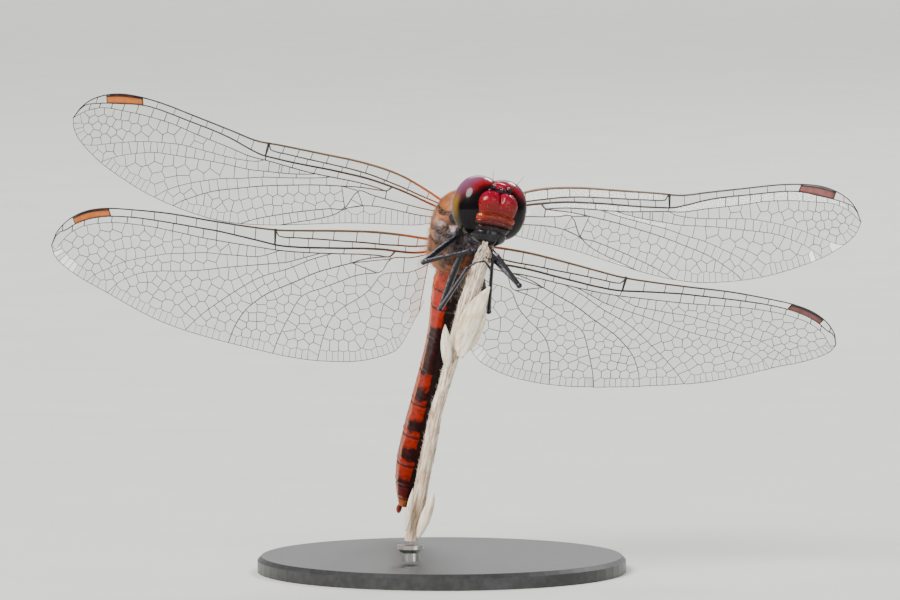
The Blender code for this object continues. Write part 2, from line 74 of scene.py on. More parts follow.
def piece(name, verts, faces, materials, slot, replaces=(), smooth=True, place=None, marks=None,
          face_materials=None, root_uvs=None):
    """Adds a mesh given in millimetres. place is a matrix whose inverse gives each point's own
    coordinates, kept as the attribute "local"; marks are one float for each point."""
    mesh = bpy.data.meshes.new(name)
    mesh.from_pydata([Vector(v) * MM for v in verts], [], faces)
    for item in materials:
        mesh.materials.append(item)
    if face_materials:
        mesh.polygons.foreach_set("material_index", face_materials)
    if smooth:
        mesh.shade_smooth()
    if place is not None:
        back = place.inverted()
        local = mesh.attributes.new("local", "FLOAT_VECTOR", "POINT")
        flat = [c for v in verts for c in back @ Vector(v)]
        local.data.foreach_set("vector", flat)
    if marks is not None:
        mark = mesh.attributes.new("mark", "FLOAT", "POINT")
        mark.data.foreach_set("value", marks)
    if root_uvs is not None:
        layer = mesh.uv_layers.new(name="OFBake")
        for loop in mesh.loops:
            layer.data[loop.index].uv = root_uvs[loop.vertex_index]
    made = bpy.data.objects.new(name, mesh)
    bpy.context.scene.collection.objects.link(made)
    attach(made, "root")
    if replaces:
        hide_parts(*replaces)
    return made


class Shape:
    """Points, faces, marks and bake coordinates gathered for one piece."""

    def __init__(self):
        self.verts, self.faces, self.marks, self.uvs, self.slots = [], [], [], [], []

    def add(self, verts, faces, mark=0.0, uvs=None, slot=0):
        start = len(self.verts)
        self.verts += [Vector(v) for v in verts]
        self.faces += [tuple(start + i for i in face) for face in faces]
        self.marks += mark if isinstance(mark, list) else [mark] * len(verts)
        self.uvs += uvs or [(0.5, 0.5)] * len(verts)
        self.slots += [slot] * len(faces)

    def rings(self, rings, mark=0.0, slot=0):
        """A closed skin through rings of points, with a flat cap at each end."""
        count = len(rings[0])
        faces = []
        for r in range(len(rings) - 1):
            for i in range(count):
                j = (i + 1) % count
                a, b = r * count, (r + 1) * count
                faces.append((a + i, a + j, b + j, b + i))
        faces.append(tuple(range(count - 1, -1, -1)))
        faces.append(tuple(range((len(rings) - 1) * count, len(rings) * count)))
        self.add([v for ring in rings for v in ring], faces, mark, slot=slot)

    def loft(self, rows, around, point):
        """A closed skin: point(row, turn) is called for each row and each turn round it."""
        self.rings([[point(row, math.tau * s / around) for s in range(around)] for row in rows])

    def tube(self, path, radii, sides=6, mark=0.0, flat=1.0, slot=0):
        """A tapered tube along points; flat squeezes it along its second axis."""
        path = [Vector(p) for p in path]
        up = Vector((0.13, 0.31, 0.94))
        rings, marks = [], []
        for i, here in enumerate(path):
            ahead = path[min(i + 1, len(path) - 1)] - path[max(i - 1, 0)]
            ahead = ahead.normalized()
            side = ahead.cross(up)
            side = side.normalized() if side.length > 1e-4 else ahead.orthogonal().normalized()
            up = side.cross(ahead).normalized()
            radius = radii[i] if isinstance(radii, (list, tuple)) else radii
            rings.append([here + (side * math.cos(a) + up * (flat * math.sin(a))) * radius
                          for a in (math.tau * k / sides for k in range(sides))])
            marks += [mark[i] if isinstance(mark, list) else mark] * sides
        self.rings(rings, marks, slot)

    def spike(self, root, tip, radius, uv, mark=0.0, bend=Vector()):
        """A fine three-sided hair; bend moves its middle, and uv is its root's place in OFBake."""
        root, tip = Vector(root), Vector(tip)
        ahead = (tip - root).normalized()
        side = ahead.orthogonal().normalized()
        other = ahead.cross(side)
        turn = [side * math.cos(a) + other * math.sin(a) for a in THIRDS]
        patch = [(uv[0] + PATCH * math.cos(a), uv[1] + PATCH * math.sin(a)) for a in THIRDS]
        middle = root.lerp(tip, 0.5) + bend
        verts = [root + t * radius for t in turn] + [middle + t * radius * 0.7 for t in turn] + [tip]
        faces = [(0, 1, 4, 3), (1, 2, 5, 4), (2, 0, 3, 5), (3, 4, 6), (4, 5, 6), (5, 3, 6), (2, 1, 0)]
        self.add(verts, faces, mark, patch + patch + [uv])

    def make(self, name, materials, slot, replaces=(), place=None, smooth=True, bake=False):
        return piece(name, self.verts, self.faces, materials, slot, replaces, smooth, place,
                     self.marks, self.slots, self.uvs if bake else None)


def along(table, x):
    """The smooth value at x of a table of (x, value) rows."""
    for i in range(len(table) - 1):
        if x <= table[i + 1][0]:
            break
    (x0, y0), (x1, y1) = table[i], table[i + 1]
    before, after = table[max(0, i - 1)], table[min(len(table) - 1, i + 2)]
    slope0 = (y1 - before[1]) / (x1 - before[0])
    slope1 = (after[1] - y0) / (after[0] - x0)
    width = x1 - x0
    t = min(1.0, max(0.0, (x - x0) / width))
    return ((2 * t ** 3 - 3 * t ** 2 + 1) * y0 + (t ** 3 - 2 * t ** 2 + t) * width * slope0
            + (3 * t ** 2 - 2 * t ** 3) * y1 + (t ** 3 - t ** 2) * width * slope1)


def linear(table, x):
    """The straight-line value at x of the same kind of table, held past its ends."""
    if x <= table[0][0]:
        return table[0][1]
    for (x0, y0), (x1, y1) in zip(table, table[1:]):
        if x <= x1:
            return y0 + (y1 - y0) * (x - x0) / (x1 - x0)
    return table[-1][1]


def bell(value, centre, width):
    """1 at the centre, fading to nothing a few widths away."""
    return math.exp(-(((value - centre) / width) ** 2))


def smooth_path(points, steps):
    """Points along a Catmull-Rom curve through tuples of any number of values."""
    ends = [points[0]] + list(points) + [points[-1]]
    path = []
    for before, a, b, after in zip(ends, ends[1:], ends[2:], ends[3:]):
        for i in range(steps):
            t = i / steps
            path.append(tuple(
                0.5 * (2 * q + (r - p) * t + (2 * p - 5 * q + 4 * r - s) * t ** 2
                       + (3 * q - p - 3 * r + s) * t ** 3)
                for p, q, r, s in zip(before, a, b, after)))
    path.append(tuple(points[-1]))
    return path


def ellipsoid(centre, radii, frame_matrix, segments=48, rings=32, power=2.0, wall=None):
    """Points and faces of an ellipsoid, its poles fore and aft. A power over two makes it squarer;
    a wall is a side, 1 or -1, beyond whose middle plane it does not reach."""
    verts, faces = [], []
    for r in range(rings + 1):
        phi = math.pi * r / rings
        for s in range(segments):
            theta = math.tau * s / segments
            way = Vector((math.sin(phi) * math.cos(theta), math.cos(phi), math.sin(phi) * math.sin(theta)))
            way /= sum(abs(c) ** power for c in way) ** (1 / power)
            p = Vector((centre[0] + radii[0] * way.x, centre[1] + radii[1] * way.y,
                        centre[2] + radii[2] * way.z))
            if wall and p.x * wall < 0.008:
                p.x = 0.008 * wall
            verts.append(p)
    for r in range(rings):
        for s in range(segments):
            a, b = r * segments + s, r * segments + (s + 1) % segments
            faces.append((a, b, b + segments, a + segments))
    return [frame_matrix @ v for v in verts], faces


# ---- materials ----

class Nodes:
    """Short calls that wire a material's nodes."""

    def __init__(self, name, roughness=0.5, metallic=0.0, coat=0.0, coat_roughness=0.1, alpha=1.0,
                 specular=0.5, colour=(0.5, 0.5, 0.5), sheen=0.0, subsurface=0.0):
        self.material = bpy.data.materials.new(name)
        self.material.use_nodes = True
        self.tree = self.material.node_tree
        self.shader = self.tree.nodes["Principled BSDF"]
        for socket, value in (("Roughness", roughness), ("Metallic", metallic), ("Coat Weight", coat),
                              ("Coat Roughness", coat_roughness), ("Alpha", alpha),
                              ("Specular IOR Level", specular), ("Sheen Weight", sheen),
                              ("Subsurface Weight", subsurface)):
            self.shader.inputs[socket].default_value = value
        self.shader.inputs["Base Color"].default_value = (*colour, 1.0)

    def node(self, kind, **settings):
        made = self.tree.nodes.new(kind)
        for key, value in settings.items():
            setattr(made, key, value)
        return made

    def link(self, out, into):
        self.tree.links.new(out, into)

    def local(self):
        """The piece's own coordinates in millimetres."""
        return self.node("ShaderNodeAttribute", attribute_name="local").outputs["Vector"]

    def part(self, axis, vector=None):
        split = self.node("ShaderNodeSeparateXYZ")
        self.link(vector or self.local(), split.inputs[0])
        return split.outputs[axis]

    def mark(self):
        return self.node("ShaderNodeAttribute", attribute_name="mark").outputs["Fac"]

    def noise(self, scale, detail=3.0, vector=None, roughness=0.55):
        made = self.node("ShaderNodeTexNoise")
        made.inputs["Scale"].default_value = scale
        made.inputs["Detail"].default_value = detail
        made.inputs["Roughness"].default_value = roughness
        self.link(vector or self.local(), made.inputs["Vector"])
        return made.outputs["Fac"]

    def cells(self, scale):
        made = self.node("ShaderNodeTexVoronoi")
        made.inputs["Scale"].default_value = scale
        self.link(self.local(), made.inputs["Vector"])
        return made.outputs["Distance"]

    def fibres(self, across, along, scale, detail, roughness):
        """Noise drawn out along the piece's own z."""
        mapping = self.node("ShaderNodeMapping")
        mapping.inputs["Scale"].default_value = (across, across, along)
        self.link(self.local(), mapping.inputs[0])
        return self.noise(scale, detail, mapping.outputs[0], roughness)

    def math(self, operation, a, b=0.0):
        made = self.node("ShaderNodeMath", operation=operation)
        for socket, value in zip(made.inputs, (a, b)):
            if isinstance(value, (int, float)):
                socket.default_value = value
            else:
                self.link(value, socket)
        return made.outputs[0]

    def plus(self, a, b):
        return self.math("ADD", a, b)

    def minus(self, a, b):
        return self.math("SUBTRACT", a, b)

    def times(self, a, b):
        return self.math("MULTIPLY", a, b)

    def most(self, *values):
        """The largest of its values."""
        top = values[0]
        for value in values[1:]:
            top = self.math("MAXIMUM", top, value)
        return top

    def ramp(self, value, *stops):
        """A colour ramp; each stop is (place, (r, g, b))."""
        made = self.node("ShaderNodeValToRGB")
        points = made.color_ramp.elements
        while len(points) < len(stops):
            points.new(0.5)
        for point, (place, colour) in zip(points, stops):
            point.position = place
            point.color = (*colour, 1.0)
        self.link(value, made.inputs[0])
        return made.outputs[0]

    def span(self, value, low, high, to_low=0.0, to_high=1.0, smooth=True):
        """value from low..high mapped to to_low..to_high, held outside."""
        made = self.node("ShaderNodeMapRange", clamp=True)
        made.interpolation_type = "SMOOTHSTEP" if smooth else "LINEAR"
        for name, number in (("From Min", low), ("From Max", high),
                             ("To Min", to_low), ("To Max", to_high)):
            made.inputs[name].default_value = number
        self.link(value, made.inputs["Value"])
        return made.outputs[0]

    def mix(self, factor, a, b):
        made = self.node("ShaderNodeMix", data_type="RGBA")
        if isinstance(factor, (int, float)):
            made.inputs[0].default_value = factor
        else:
            self.link(factor, made.inputs[0])
        for socket, value in ((made.inputs[6], a), (made.inputs[7], b)):
            if isinstance(value, tuple):
                socket.default_value = (*value, 1.0)
            else:
                self.link(value, socket)
        return made.outputs[2]

    def band(self, value, centre, half, soft):
        """1 within half of centre, falling to 0 over soft."""
        off = self.math("ABSOLUTE", self.minus(value, centre))
        return self.span(off, half, half + soft, 1.0, 0.0)

    def colour(self, output):
        self.link(output, self.shader.inputs["Base Color"])

    def bump(self, height, strength=0.4, distance=0.02):
        made = self.node("ShaderNodeBump")
        made.inputs["Strength"].default_value = strength
        made.inputs["Distance"].default_value = distance * MM
        self.link(height, made.inputs["Height"])
        self.link(made.outputs[0], self.shader.inputs["Normal"])


# ---- wings: outlines and poses as in the solids ----

LENGTHS = {"fore": 29.0, "hind": 29.2}
FRONT = {
    "fore": ((0.0, 0.0), (0.06, -0.015), (0.15, -0.031), (0.25, -0.029), (0.36, -0.015), (0.47, 0.0),
             (0.53, 0.009), (0.6, 0.006), (0.7, 0.002), (0.8, -0.001), (0.88, 0.006), (0.93, 0.022),
             (0.97, 0.05), (0.99, 0.079), (1.0, 0.111)),
    "hind": ((0.0, 0.0), (0.15, -0.005), (0.25, 0.0), (0.36, 0.009), (0.42, 0.013), (0.51, 0.01),
             (0.6, 0.004), (0.7, -0.004), (0.8, -0.005), (0.87, -0.002), (0.92, 0.01), (0.96, 0.034),
             (0.985, 0.063), (0.996, 0.087), (1.0, 0.106)),
}
REAR = {
    "fore": ((0.0, 0.06), (0.1, 0.09), (0.23, 0.13), (0.35, 0.176), (0.45, 0.212), (0.55, 0.236),
             (0.65, 0.241), (0.75, 0.233), (0.83, 0.216), (0.9, 0.194), (0.96, 0.163), (0.988, 0.138),
             (1.0, 0.111)),
    "hind": ((0.0, 0.17), (0.012, 0.226), (0.045, 0.272), (0.1, 0.306), (0.17, 0.33), (0.25, 0.339),
             (0.33, 0.339), (0.42, 0.329), (0.6, 0.3), (0.72, 0.268), (0.86, 0.207), (0.92, 0.18),
             (0.965, 0.153), (0.99, 0.13), (1.0, 0.106)),
}
WINGS = {
    "forewing_right": ("fore", (0.55, -1.48, 27.96), (-0.936, -0.107, 0.336), 0, 0),
    "forewing_left": ("fore", (3.12, -1.68, 27.92), (0.966, -0.243, 0.08), 0, -9),
    "hindwing_right": ("hind", (-0.36, 0.63, 25.18), (-0.984, -0.15, 0.1), 0, 0),
    "hindwing_left": ("hind", (1.9, 0.41, 24.93), (0.981, 0.028, -0.189), 11, 30),
}
ROOT_TWIST = math.radians(34)
ROOT_SPAN = 0.1
CHORD_DOWN = Vector((0.0, -0.07, -0.998))


def wing_place(kind, hinge, span, tilt, twist, x, chord, lift):
    """A point of a wing: x along the span and chord behind the front line in wing lengths,
    lift off the middle sheet in millimetres."""
    span = Vector(span).normalized()
    across = (CHORD_DOWN - span * CHORD_DOWN.dot(span)).normalized()
    back = span.cross(across)
    back = back if back.y > 0 else -back
    ease = min(1.0, x / ROOT_SPAN)
    ease = ease * ease * (3 - 2 * ease)
    angle = math.radians(tilt + twist * x) + ROOT_TWIST * (1 - ease)
    turned = across * math.cos(angle) + back * math.sin(angle)
    return Vector(hinge) + (span * x + turned * chord) * LENGTHS[kind] + span.cross(turned) * lift


# Each long vein gives its share of the way from front edge to rear edge at places along the
# span. Before its first place it is one with its parent, and where it reaches 1 it has met the
# rear edge.
VEINS = {
    "fore": {
        "C": ((0.0, 0.0), (1.0, 0.0)),
        "Sc": ((0.0, 0.2), (0.147, 0.2), (0.225, 0.155), (0.329, 0.118), (0.433, 0.093), (0.49, 0.07),
               (0.498, 0.0), (1.0, 0.0)),
        "R": ((0.0, 0.3), (0.147, 0.27), (0.225, 0.232), (0.277, 0.217), (0.329, 0.197), (0.381, 0.188),
              (0.433, 0.178), (0.495, 0.157), (0.517, 0.138), (0.537, 0.117), (0.589, 0.085),
              (0.641, 0.072), (0.706, 0.074), (0.76, 0.077), (0.823, 0.082), (0.857, 0.102), (0.896, 0.14),
              (0.938, 0.15), (0.966, 0.125), (0.985, 0.06), (1.0, 0.05)),
        "RP1": ((0.155, 0.27), (0.165, 0.36), (0.19, 0.35), (0.225, 0.33), (0.277, 0.312), (0.329, 0.292),
                (0.381, 0.27), (0.433, 0.237), (0.497, 0.203), (0.537, 0.193), (0.589, 0.182),
                (0.693, 0.178), (0.745, 0.172), (0.823, 0.198), (0.888, 0.228), (0.94, 0.235),
                (0.974, 0.29), (1.0, 0.4)),
        "RP2": ((0.495, 0.205), (0.51, 0.232), (0.537, 0.252), (0.589, 0.287), (0.641, 0.309),
                (0.706, 0.342), (0.745, 0.388), (0.797, 0.47), (0.849, 0.585), (0.901, 0.75), (0.94, 0.93),
                (0.955, 1.0)),
        "IR2": ((0.355, 0.283), (0.39, 0.312), (0.433, 0.33), (0.474, 0.337), (0.557, 0.356),
                (0.623, 0.394), (0.7, 0.463), (0.771, 0.548), (0.81, 0.64), (0.849, 0.76), (0.88, 0.9),
                (0.895, 1.0)),
        "RP3": ((0.315, 0.298), (0.35, 0.335), (0.394, 0.365), (0.446, 0.392), (0.498, 0.424),
                (0.547, 0.482), (0.589, 0.545), (0.641, 0.66), (0.68, 0.765), (0.714, 0.89), (0.735, 1.0)),
        "MA": ((0.165, 0.37), (0.19, 0.385), (0.233, 0.395), (0.282, 0.415), (0.329, 0.428),
               (0.363, 0.443), (0.402, 0.466), (0.446, 0.494), (0.48, 0.523), (0.511, 0.555),
               (0.563, 0.635), (0.602, 0.72), (0.641, 0.84), (0.667, 0.93), (0.68, 1.0)),
        "MP": ((0.0, 0.5), (0.147, 0.52), (0.199, 0.49), (0.238, 0.455), (0.2465, 0.6), (0.255, 0.76),
               (0.29, 0.77), (0.34, 0.8), (0.4, 0.85), (0.46, 0.92), (0.5, 1.0)),
        "Cu": ((0.0, 0.72), (0.1, 0.7), (0.17, 0.68), (0.215, 0.7), (0.255, 0.77), (0.275, 0.86),
               (0.31, 0.92), (0.36, 0.965), (0.4, 1.0)),
    },
    "hind": {
        "C": ((0.0, 0.0), (1.0, 0.0)),
        "Sc": ((0.0, 0.1), (0.093, 0.089), (0.135, 0.092), (0.19, 0.084), (0.245, 0.077), (0.3, 0.066),
               (0.355, 0.058), (0.415, 0.045), (0.424, 0.0), (1.0, 0.0)),
        "R": ((0.0, 0.15), (0.093, 0.141), (0.135, 0.132), (0.19, 0.13), (0.245, 0.132), (0.3, 0.132),
              (0.355, 0.132), (0.41, 0.124), (0.465, 0.104), (0.52, 0.089), (0.576, 0.078), (0.631, 0.08),
              (0.686, 0.083), (0.741, 0.081), (0.796, 0.08), (0.851, 0.094), (0.906, 0.124), (0.945, 0.16),
              (0.968, 0.2), (0.985, 0.12), (1.0, 0.1)),
        "RP1": ((0.105, 0.137), (0.118, 0.185), (0.15, 0.18), (0.204, 0.174), (0.245, 0.175), (0.3, 0.173),
                (0.355, 0.17), (0.41, 0.163), (0.465, 0.158), (0.52, 0.158), (0.603, 0.159),
                (0.686, 0.155), (0.755, 0.149), (0.824, 0.158), (0.879, 0.19), (0.934, 0.245),
                (0.967, 0.38), (0.985, 0.65), (1.0, 0.9)),
        "RP2": ((0.408, 0.163), (0.424, 0.188), (0.438, 0.208), (0.465, 0.238), (0.52, 0.256),
                (0.554, 0.268), (0.603, 0.285), (0.645, 0.322), (0.7, 0.374), (0.741, 0.435),
                (0.769, 0.485), (0.81, 0.58), (0.851, 0.73), (0.885, 0.88), (0.9, 1.0)),
        "IR2": ((0.3, 0.173), (0.33, 0.2), (0.355, 0.224), (0.383, 0.253), (0.41, 0.268), (0.465, 0.307),
                (0.507, 0.342), (0.548, 0.378), (0.603, 0.438), (0.658, 0.494), (0.713, 0.547),
                (0.755, 0.61), (0.788, 0.7), (0.82, 0.83), (0.845, 1.0)),
        "RP3": ((0.27, 0.174), (0.3, 0.2), (0.33, 0.232), (0.355, 0.268), (0.383, 0.308), (0.427, 0.362),
                (0.465, 0.43), (0.493, 0.5), (0.53, 0.605), (0.576, 0.75), (0.61, 0.88), (0.635, 1.0)),
        "MA": ((0.118, 0.188), (0.15, 0.195), (0.19, 0.215), (0.217, 0.242), (0.253, 0.272), (0.3, 0.315),
               (0.333, 0.359), (0.355, 0.397), (0.383, 0.44), (0.427, 0.519), (0.454, 0.593),
               (0.482, 0.69), (0.498, 0.78), (0.512, 0.89), (0.52, 1.0)),
        "MP": ((0.0, 0.2), (0.06, 0.195), (0.118, 0.205), (0.135, 0.3), (0.15, 0.318), (0.18, 0.325),
               (0.21, 0.345), (0.232, 0.372), (0.259, 0.405), (0.294, 0.448), (0.325, 0.485),
               (0.347, 0.54), (0.362, 0.64), (0.38, 0.775), (0.394, 0.9), (0.402, 1.0)),
        "Cu": ((0.0, 0.34), (0.07, 0.325), (0.138, 0.335), (0.162, 0.44), (0.19, 0.51), (0.212, 0.55),
               (0.237, 0.6), (0.256, 0.66), (0.268, 0.735), (0.277, 0.84), (0.285, 1.0)),
    },
}
ORDER = ("C", "Sc", "R", "RP1", "RP2", "IR2", "RP3", "MA", "MP", "Cu")
# the lift of each vein off the sheet, in millimetres: the pleats of a dragonfly's wing
PLEATS = {"C": 0.05, "Sc": -0.16, "R": 0.12, "RP1": -0.1, "RP2": -0.05, "IR2": 0.05, "RP3": -0.06,
          "MA": 0.07, "MP": -0.07, "Cu": 0.05, "edge": 0.0}
RADII = {"C": 0.085, "Sc": 0.055, "R": 0.075, "RP1": 0.045, "RP2": 0.036, "IR2": 0.036, "RP3": 0.036,
         "MA": 0.042, "MP": 0.04, "Cu": 0.036}
STIGMA = {"fore": (0.848, 0.937), "hind": (0.862, 0.951)}
NODUS = {"fore": 0.496, "hind": 0.422}
# the arculus and the sides of the triangles: a radius, then the points that each vein joins
SHORT_VEINS = {
    "fore": (
        (0.045, ("R", 0.157), ("MA", 0.166), ("MP", 0.163)),
        (0.04, ("MP", 0.238), ("MA", 0.282)), (0.04, ("MA", 0.282), ("MP", 0.255)),
        (0.034, ("MP", 0.238), ("Cu", 0.213)), (0.034, ("Cu", 0.213), ("MP", 0.255))),
    "hind": (
        (0.045, ("R", 0.108), ("MA", 0.119), ("MP", 0.116)),
        (0.04, ("MP", 0.118), ("MA", 0.217)), (0.04, ("MA", 0.217), ("MP", 0.15))),
}
ROOT = 0.004                   # where the veins and the membrane begin along the span
# strips of membrane: upper vein, lower vein, start and end
LADDERS = {
    "fore": (("R", "RP1", 0.16, 1.0), ("R", "MP", ROOT, 0.16), ("MP", "Cu", ROOT, 0.255),
             ("RP1", "MA", 0.165, 0.282), ("MA", "MP", 0.166, 0.238)),
    "hind": (("R", "RP1", 0.11, 1.0), ("R", "MP", ROOT, 0.117), ("MP", "Cu", ROOT, 0.14),
             ("RP1", "MA", 0.118, 0.217), ("MA", "MP", 0.118, 0.15)),
}
# the cells of membrane in and beside the triangles
CORNER_CELLS = {
    "fore": (
        (("MP", 0.238), ("MA", 0.238), ("MA", 0.26), ("MA", 0.282)),
        (("MP", 0.238), ("MA", 0.282), ("MP", 0.255)),
        (("RP3", 0.282), ("RP3", 0.2825), ("MA", 0.282))),
    "hind": (
        (("MP", 0.15), ("MA", 0.15), ("MA", 0.18), ("MA", 0.217)),),
}
# rungs between two long veins: upper, lower, and the places along the span
RUNGS = {
    "fore": (
        ("C", "Sc", (0.06, 0.115, 0.175, 0.234, 0.287, 0.339, 0.381, 0.417, 0.456)),
        ("Sc", "R", (0.115, 0.18, 0.245, 0.295, 0.345, 0.388, 0.42, 0.46)),
        ("C", "R", (0.537, 0.578, 0.623, 0.667, 0.71, 0.757, 0.805, 0.957)),
        ("R", "RP1", (0.3, 0.36, 0.42, 0.646, 0.68, 0.711, 0.74, 0.774, 0.81, 0.85, 0.885, 0.915,
                      0.945, 0.968)),
        ("RP1", "MA", (0.235, 0.27)),
        ("MP", "Cu", (0.1, 0.19)),
    ),
    "hind": (
        ("C", "Sc", (0.05, 0.1, 0.15, 0.21, 0.27, 0.325, 0.375)),
        ("Sc", "R", (0.08, 0.16, 0.22, 0.28, 0.335, 0.385)),
        ("C", "R", (0.475, 0.53, 0.576, 0.631, 0.683, 0.741, 0.8, 0.975)),
        ("R", "RP1", (0.24, 0.33, 0.575, 0.61, 0.65, 0.69, 0.73, 0.77, 0.81, 0.85, 0.885, 0.92, 0.95)),
        ("RP1", "MA", (0.17, 0.22)),
        ("MP", "Cu", (0.08,)),
    ),
}
# fields filled with cells: upper vein and its start, lower vein and its start, end, then the
# usual area of a cell near the body and near the end, in square millimetres
FIELDS = {
    "fore": (
        ("RP1", 0.495, "RP2", 0.495, 1.0, 0.8, 0.34),
        ("RP2", 0.495, "IR2", 0.36, 0.96, 0.7, 0.36),
        ("RP1", 0.38, "IR2", 0.38, 0.495, 1.1, 1.1),
        ("IR2", 0.36, "RP3", 0.36, 0.9, 0.85, 0.4),
        ("RP3", 0.28, "MA", 0.282, 0.74, 0.85, 0.42),
        ("MA", 0.282, "MP", 0.255, 0.69, 0.62, 0.4),
        ("MP", 0.255, "Cu", 0.255, 0.5, 0.42, 0.36),
        ("Cu", 0.01, "edge", 0.01, 0.4, 0.5, 0.36),
    ),
    "hind": (
        ("RP1", 0.408, "RP2", 0.408, 1.0, 0.8, 0.34),
        ("RP2", 0.408, "IR2", 0.31, 0.9, 0.72, 0.36),
        ("RP1", 0.33, "IR2", 0.33, 0.408, 1.1, 1.1),
        ("IR2", 0.28, "RP3", 0.3, 0.85, 0.85, 0.4),
        ("RP3", 0.21, "MA", 0.217, 0.64, 0.9, 0.42),
        ("MA", 0.217, "MP", 0.138, 0.52, 0.66, 0.42),
        ("MP", 0.15, "Cu", 0.14, 0.4, 0.7, 0.5),
        ("Cu", 0.01, "edge", 0.01, 0.285, 0.85, 0.6),
    ),
}
EDGE_CELL = 0.46               # width of the small cells along the rear edge
EDGE_DEPTH = 0.34              # how far their seeds lie from that edge
RUNG_RADIUS = 0.034
SHORTEST_RUNG = 0.08
TRIALS = 1500                  # points tried to measure a field's area
NEIGHBOURS = 18                # nearest seeds that can bound a cell
EVEN_TURNS = 8                 # times that the cells' seeds move to their cells' middles


class Venation:
    """One wing's net of veins and cells, in flat millimetres (along the span, behind the front)."""

    def __init__(self, kind):
        self.kind = kind
        self.length = LENGTHS[kind]
        self.tables = VEINS[kind]
        self.lines, self.cells = [], []
        self.long_veins()
        for upper, lower, places in RUNGS[kind]:
            for x in places:
                self.rung(upper, lower, x)
        self.short_veins()
        for field in FIELDS[kind]:
            self.fill(*field)
        self.strips()

    def share(self, vein, x):
        """Where a vein lies at x; before it begins it is one with its parent."""
        if vein == "edge":
            return 1.0
        table = self.tables[vein]
        if x < table[0][0]:
            return self.share("R" if vein == "RP1" else "RP1", x)
        return min(1.0, max(0.0, linear(table, x) if x > table[-1][0] else along(table, x)))

    def flat(self, x, share):
        front, rear = along(FRONT[self.kind], x), along(REAR[self.kind], x)
        return (x * self.length, (front + (rear - front) * share) * self.length)

    def at(self, vein, x):
        return self.flat(x, self.share(vein, x))

    def pleat(self, px, pn):
        """The lift of the sheet at a flat point, straight between the long veins."""
        x = min(1.0, max(0.0, px / self.length))
        front, rear = along(FRONT[self.kind], x), along(REAR[self.kind], x)
        share = (pn / self.length - front) / max(0.01, rear - front)
        above, high = 0.0, PLEATS["C"]
        fade = 0.35 + 0.65 * (1 - x)
        for vein in ORDER[1:] + ("edge",):
            here = self.share(vein, x)
            if here >= share and here > above + 1e-6:
                t = (share - above) / (here - above)
                return fade * (high + (PLEATS[vein] - high) * min(1.0, max(0.0, t)))
            if here > above + 1e-6:
                above, high = here, PLEATS[vein]
        return fade * PLEATS["edge"]

    def run(self, vein, start, end, steps):
        """Points along a vein between two places."""
        return [self.at(vein, start + (end - start) * i / steps) for i in range(steps + 1)]

    def meeting(self, vein):
        """Where along the span a vein meets the rear edge, or the wing's end."""
        return next((x for x, share in self.tables.get(vein, ()) if share >= 1.0), 1.0)

    def line(self, points, radius):
        self.lines.append((points, radius))

    def rung(self, upper, lower, x):
        a, b = self.at(upper, x), self.at(lower, x)
        if math.dist(a, b) > SHORTEST_RUNG:
            self.line([a, b], RUNG_RADIUS)

    def long_veins(self):
        for vein in ORDER:
            start = max(ROOT, self.tables[vein][0][0])
            end = NODUS[self.kind] if vein == "Sc" else self.meeting(vein)
            path = self.run(vein, start, end, max(8, int((end - start) * 110)))
            self.line(path, [RADII[vein] * (1.25 - 0.75 * p[0] / self.length) for p in path])
        self.line(self.run("edge", ROOT, 1.0, 120), 0.026)
        self.line([self.at("Cu", 0.012), self.flat(0.012, 1.0)], 0.03)

    def short_veins(self):
        """The nodus, the arculus, the triangles and the wing spot's two ends."""
        kind = self.kind
        nodus = NODUS[kind]
        self.line([self.flat(nodus + 0.002, -0.01), self.at("R", nodus)], [0.12, 0.07])
        self.line([self.at("R", nodus - 0.001), self.at("RP1", nodus - 0.004)], 0.045)
        for radius, *stops in SHORT_VEINS[kind]:
            self.line([self.at(vein, x) for vein, x in stops], radius)
        if kind == "fore":
            left, top, foot = self.at("Cu", 0.213), self.at("MP", 0.238), self.at("MP", 0.255)
            self.line([left, (0.55 * top[0] + 0.45 * foot[0], 0.5 * (top[1] + foot[1]))], 0.03)
        for x in STIGMA[kind]:
            self.line([self.at("C", x), self.at("R", x - 0.008)], 0.06)

    def field(self, upper, upper_start, lower, lower_start, end):
        """The outline of the field between two veins, and its stretch of the rear edge."""
        def walk(vein, start):
            last = min(end, self.meeting(vein))
            return self.run(vein, start, last, max(6, int((last - start) * 90)))

        top, bottom = walk(upper, upper_start), walk(lower, lower_start)
        rim = []
        if top[-1][0] > bottom[-1][0] + 0.3:           # the lower vein has met the rear edge first
            first, last = bottom[-1][0] / self.length, top[-1][0] / self.length
            rim = self.run("edge", first, last, max(2, int((last - first) * 90)))[1:]
        elif lower == "edge":
            rim = bottom
            bottom = bottom[:1]
        outline = top + (bottom + rim)[::-1]
        return [p for i, p in enumerate(outline) if math.dist(p, outline[i - 1]) > 1e-3], rim

    def fill(self, upper, upper_start, lower, lower_start, end, area_near, area_far):
        """Fills the field between two veins with cells."""
        outline, rim = self.field(upper, upper_start, lower, lower_start, end)
        fixed = edge_seeds(rim, outline)
        loose = scatter(outline, fixed, area_near, area_far)
        polygons = voronoi(outline, fixed + loose)
        for _ in range(EVEN_TURNS):
            loose = [middle(poly) or seed for seed, (poly, _) in zip(loose, polygons[len(fixed):])]
            polygons = voronoi(outline, fixed + loose)
        done = set()
        for k, (poly, owners) in enumerate(polygons):
            if len(poly) < 3:
                continue
            self.cells.append(poly)
            for i, owner in enumerate(owners):
                pair = (min(k, owner), max(k, owner))
                if owner >= 0 and pair not in done:
                    done.add(pair)
                    a, b = poly[i], poly[(i + 1) % len(poly)]
                    if math.dist(a, b) > 0.02:
                        edge_like = k < len(fixed) or owner < len(fixed)
                        self.line([a, b], 0.021 if edge_like else 0.027)

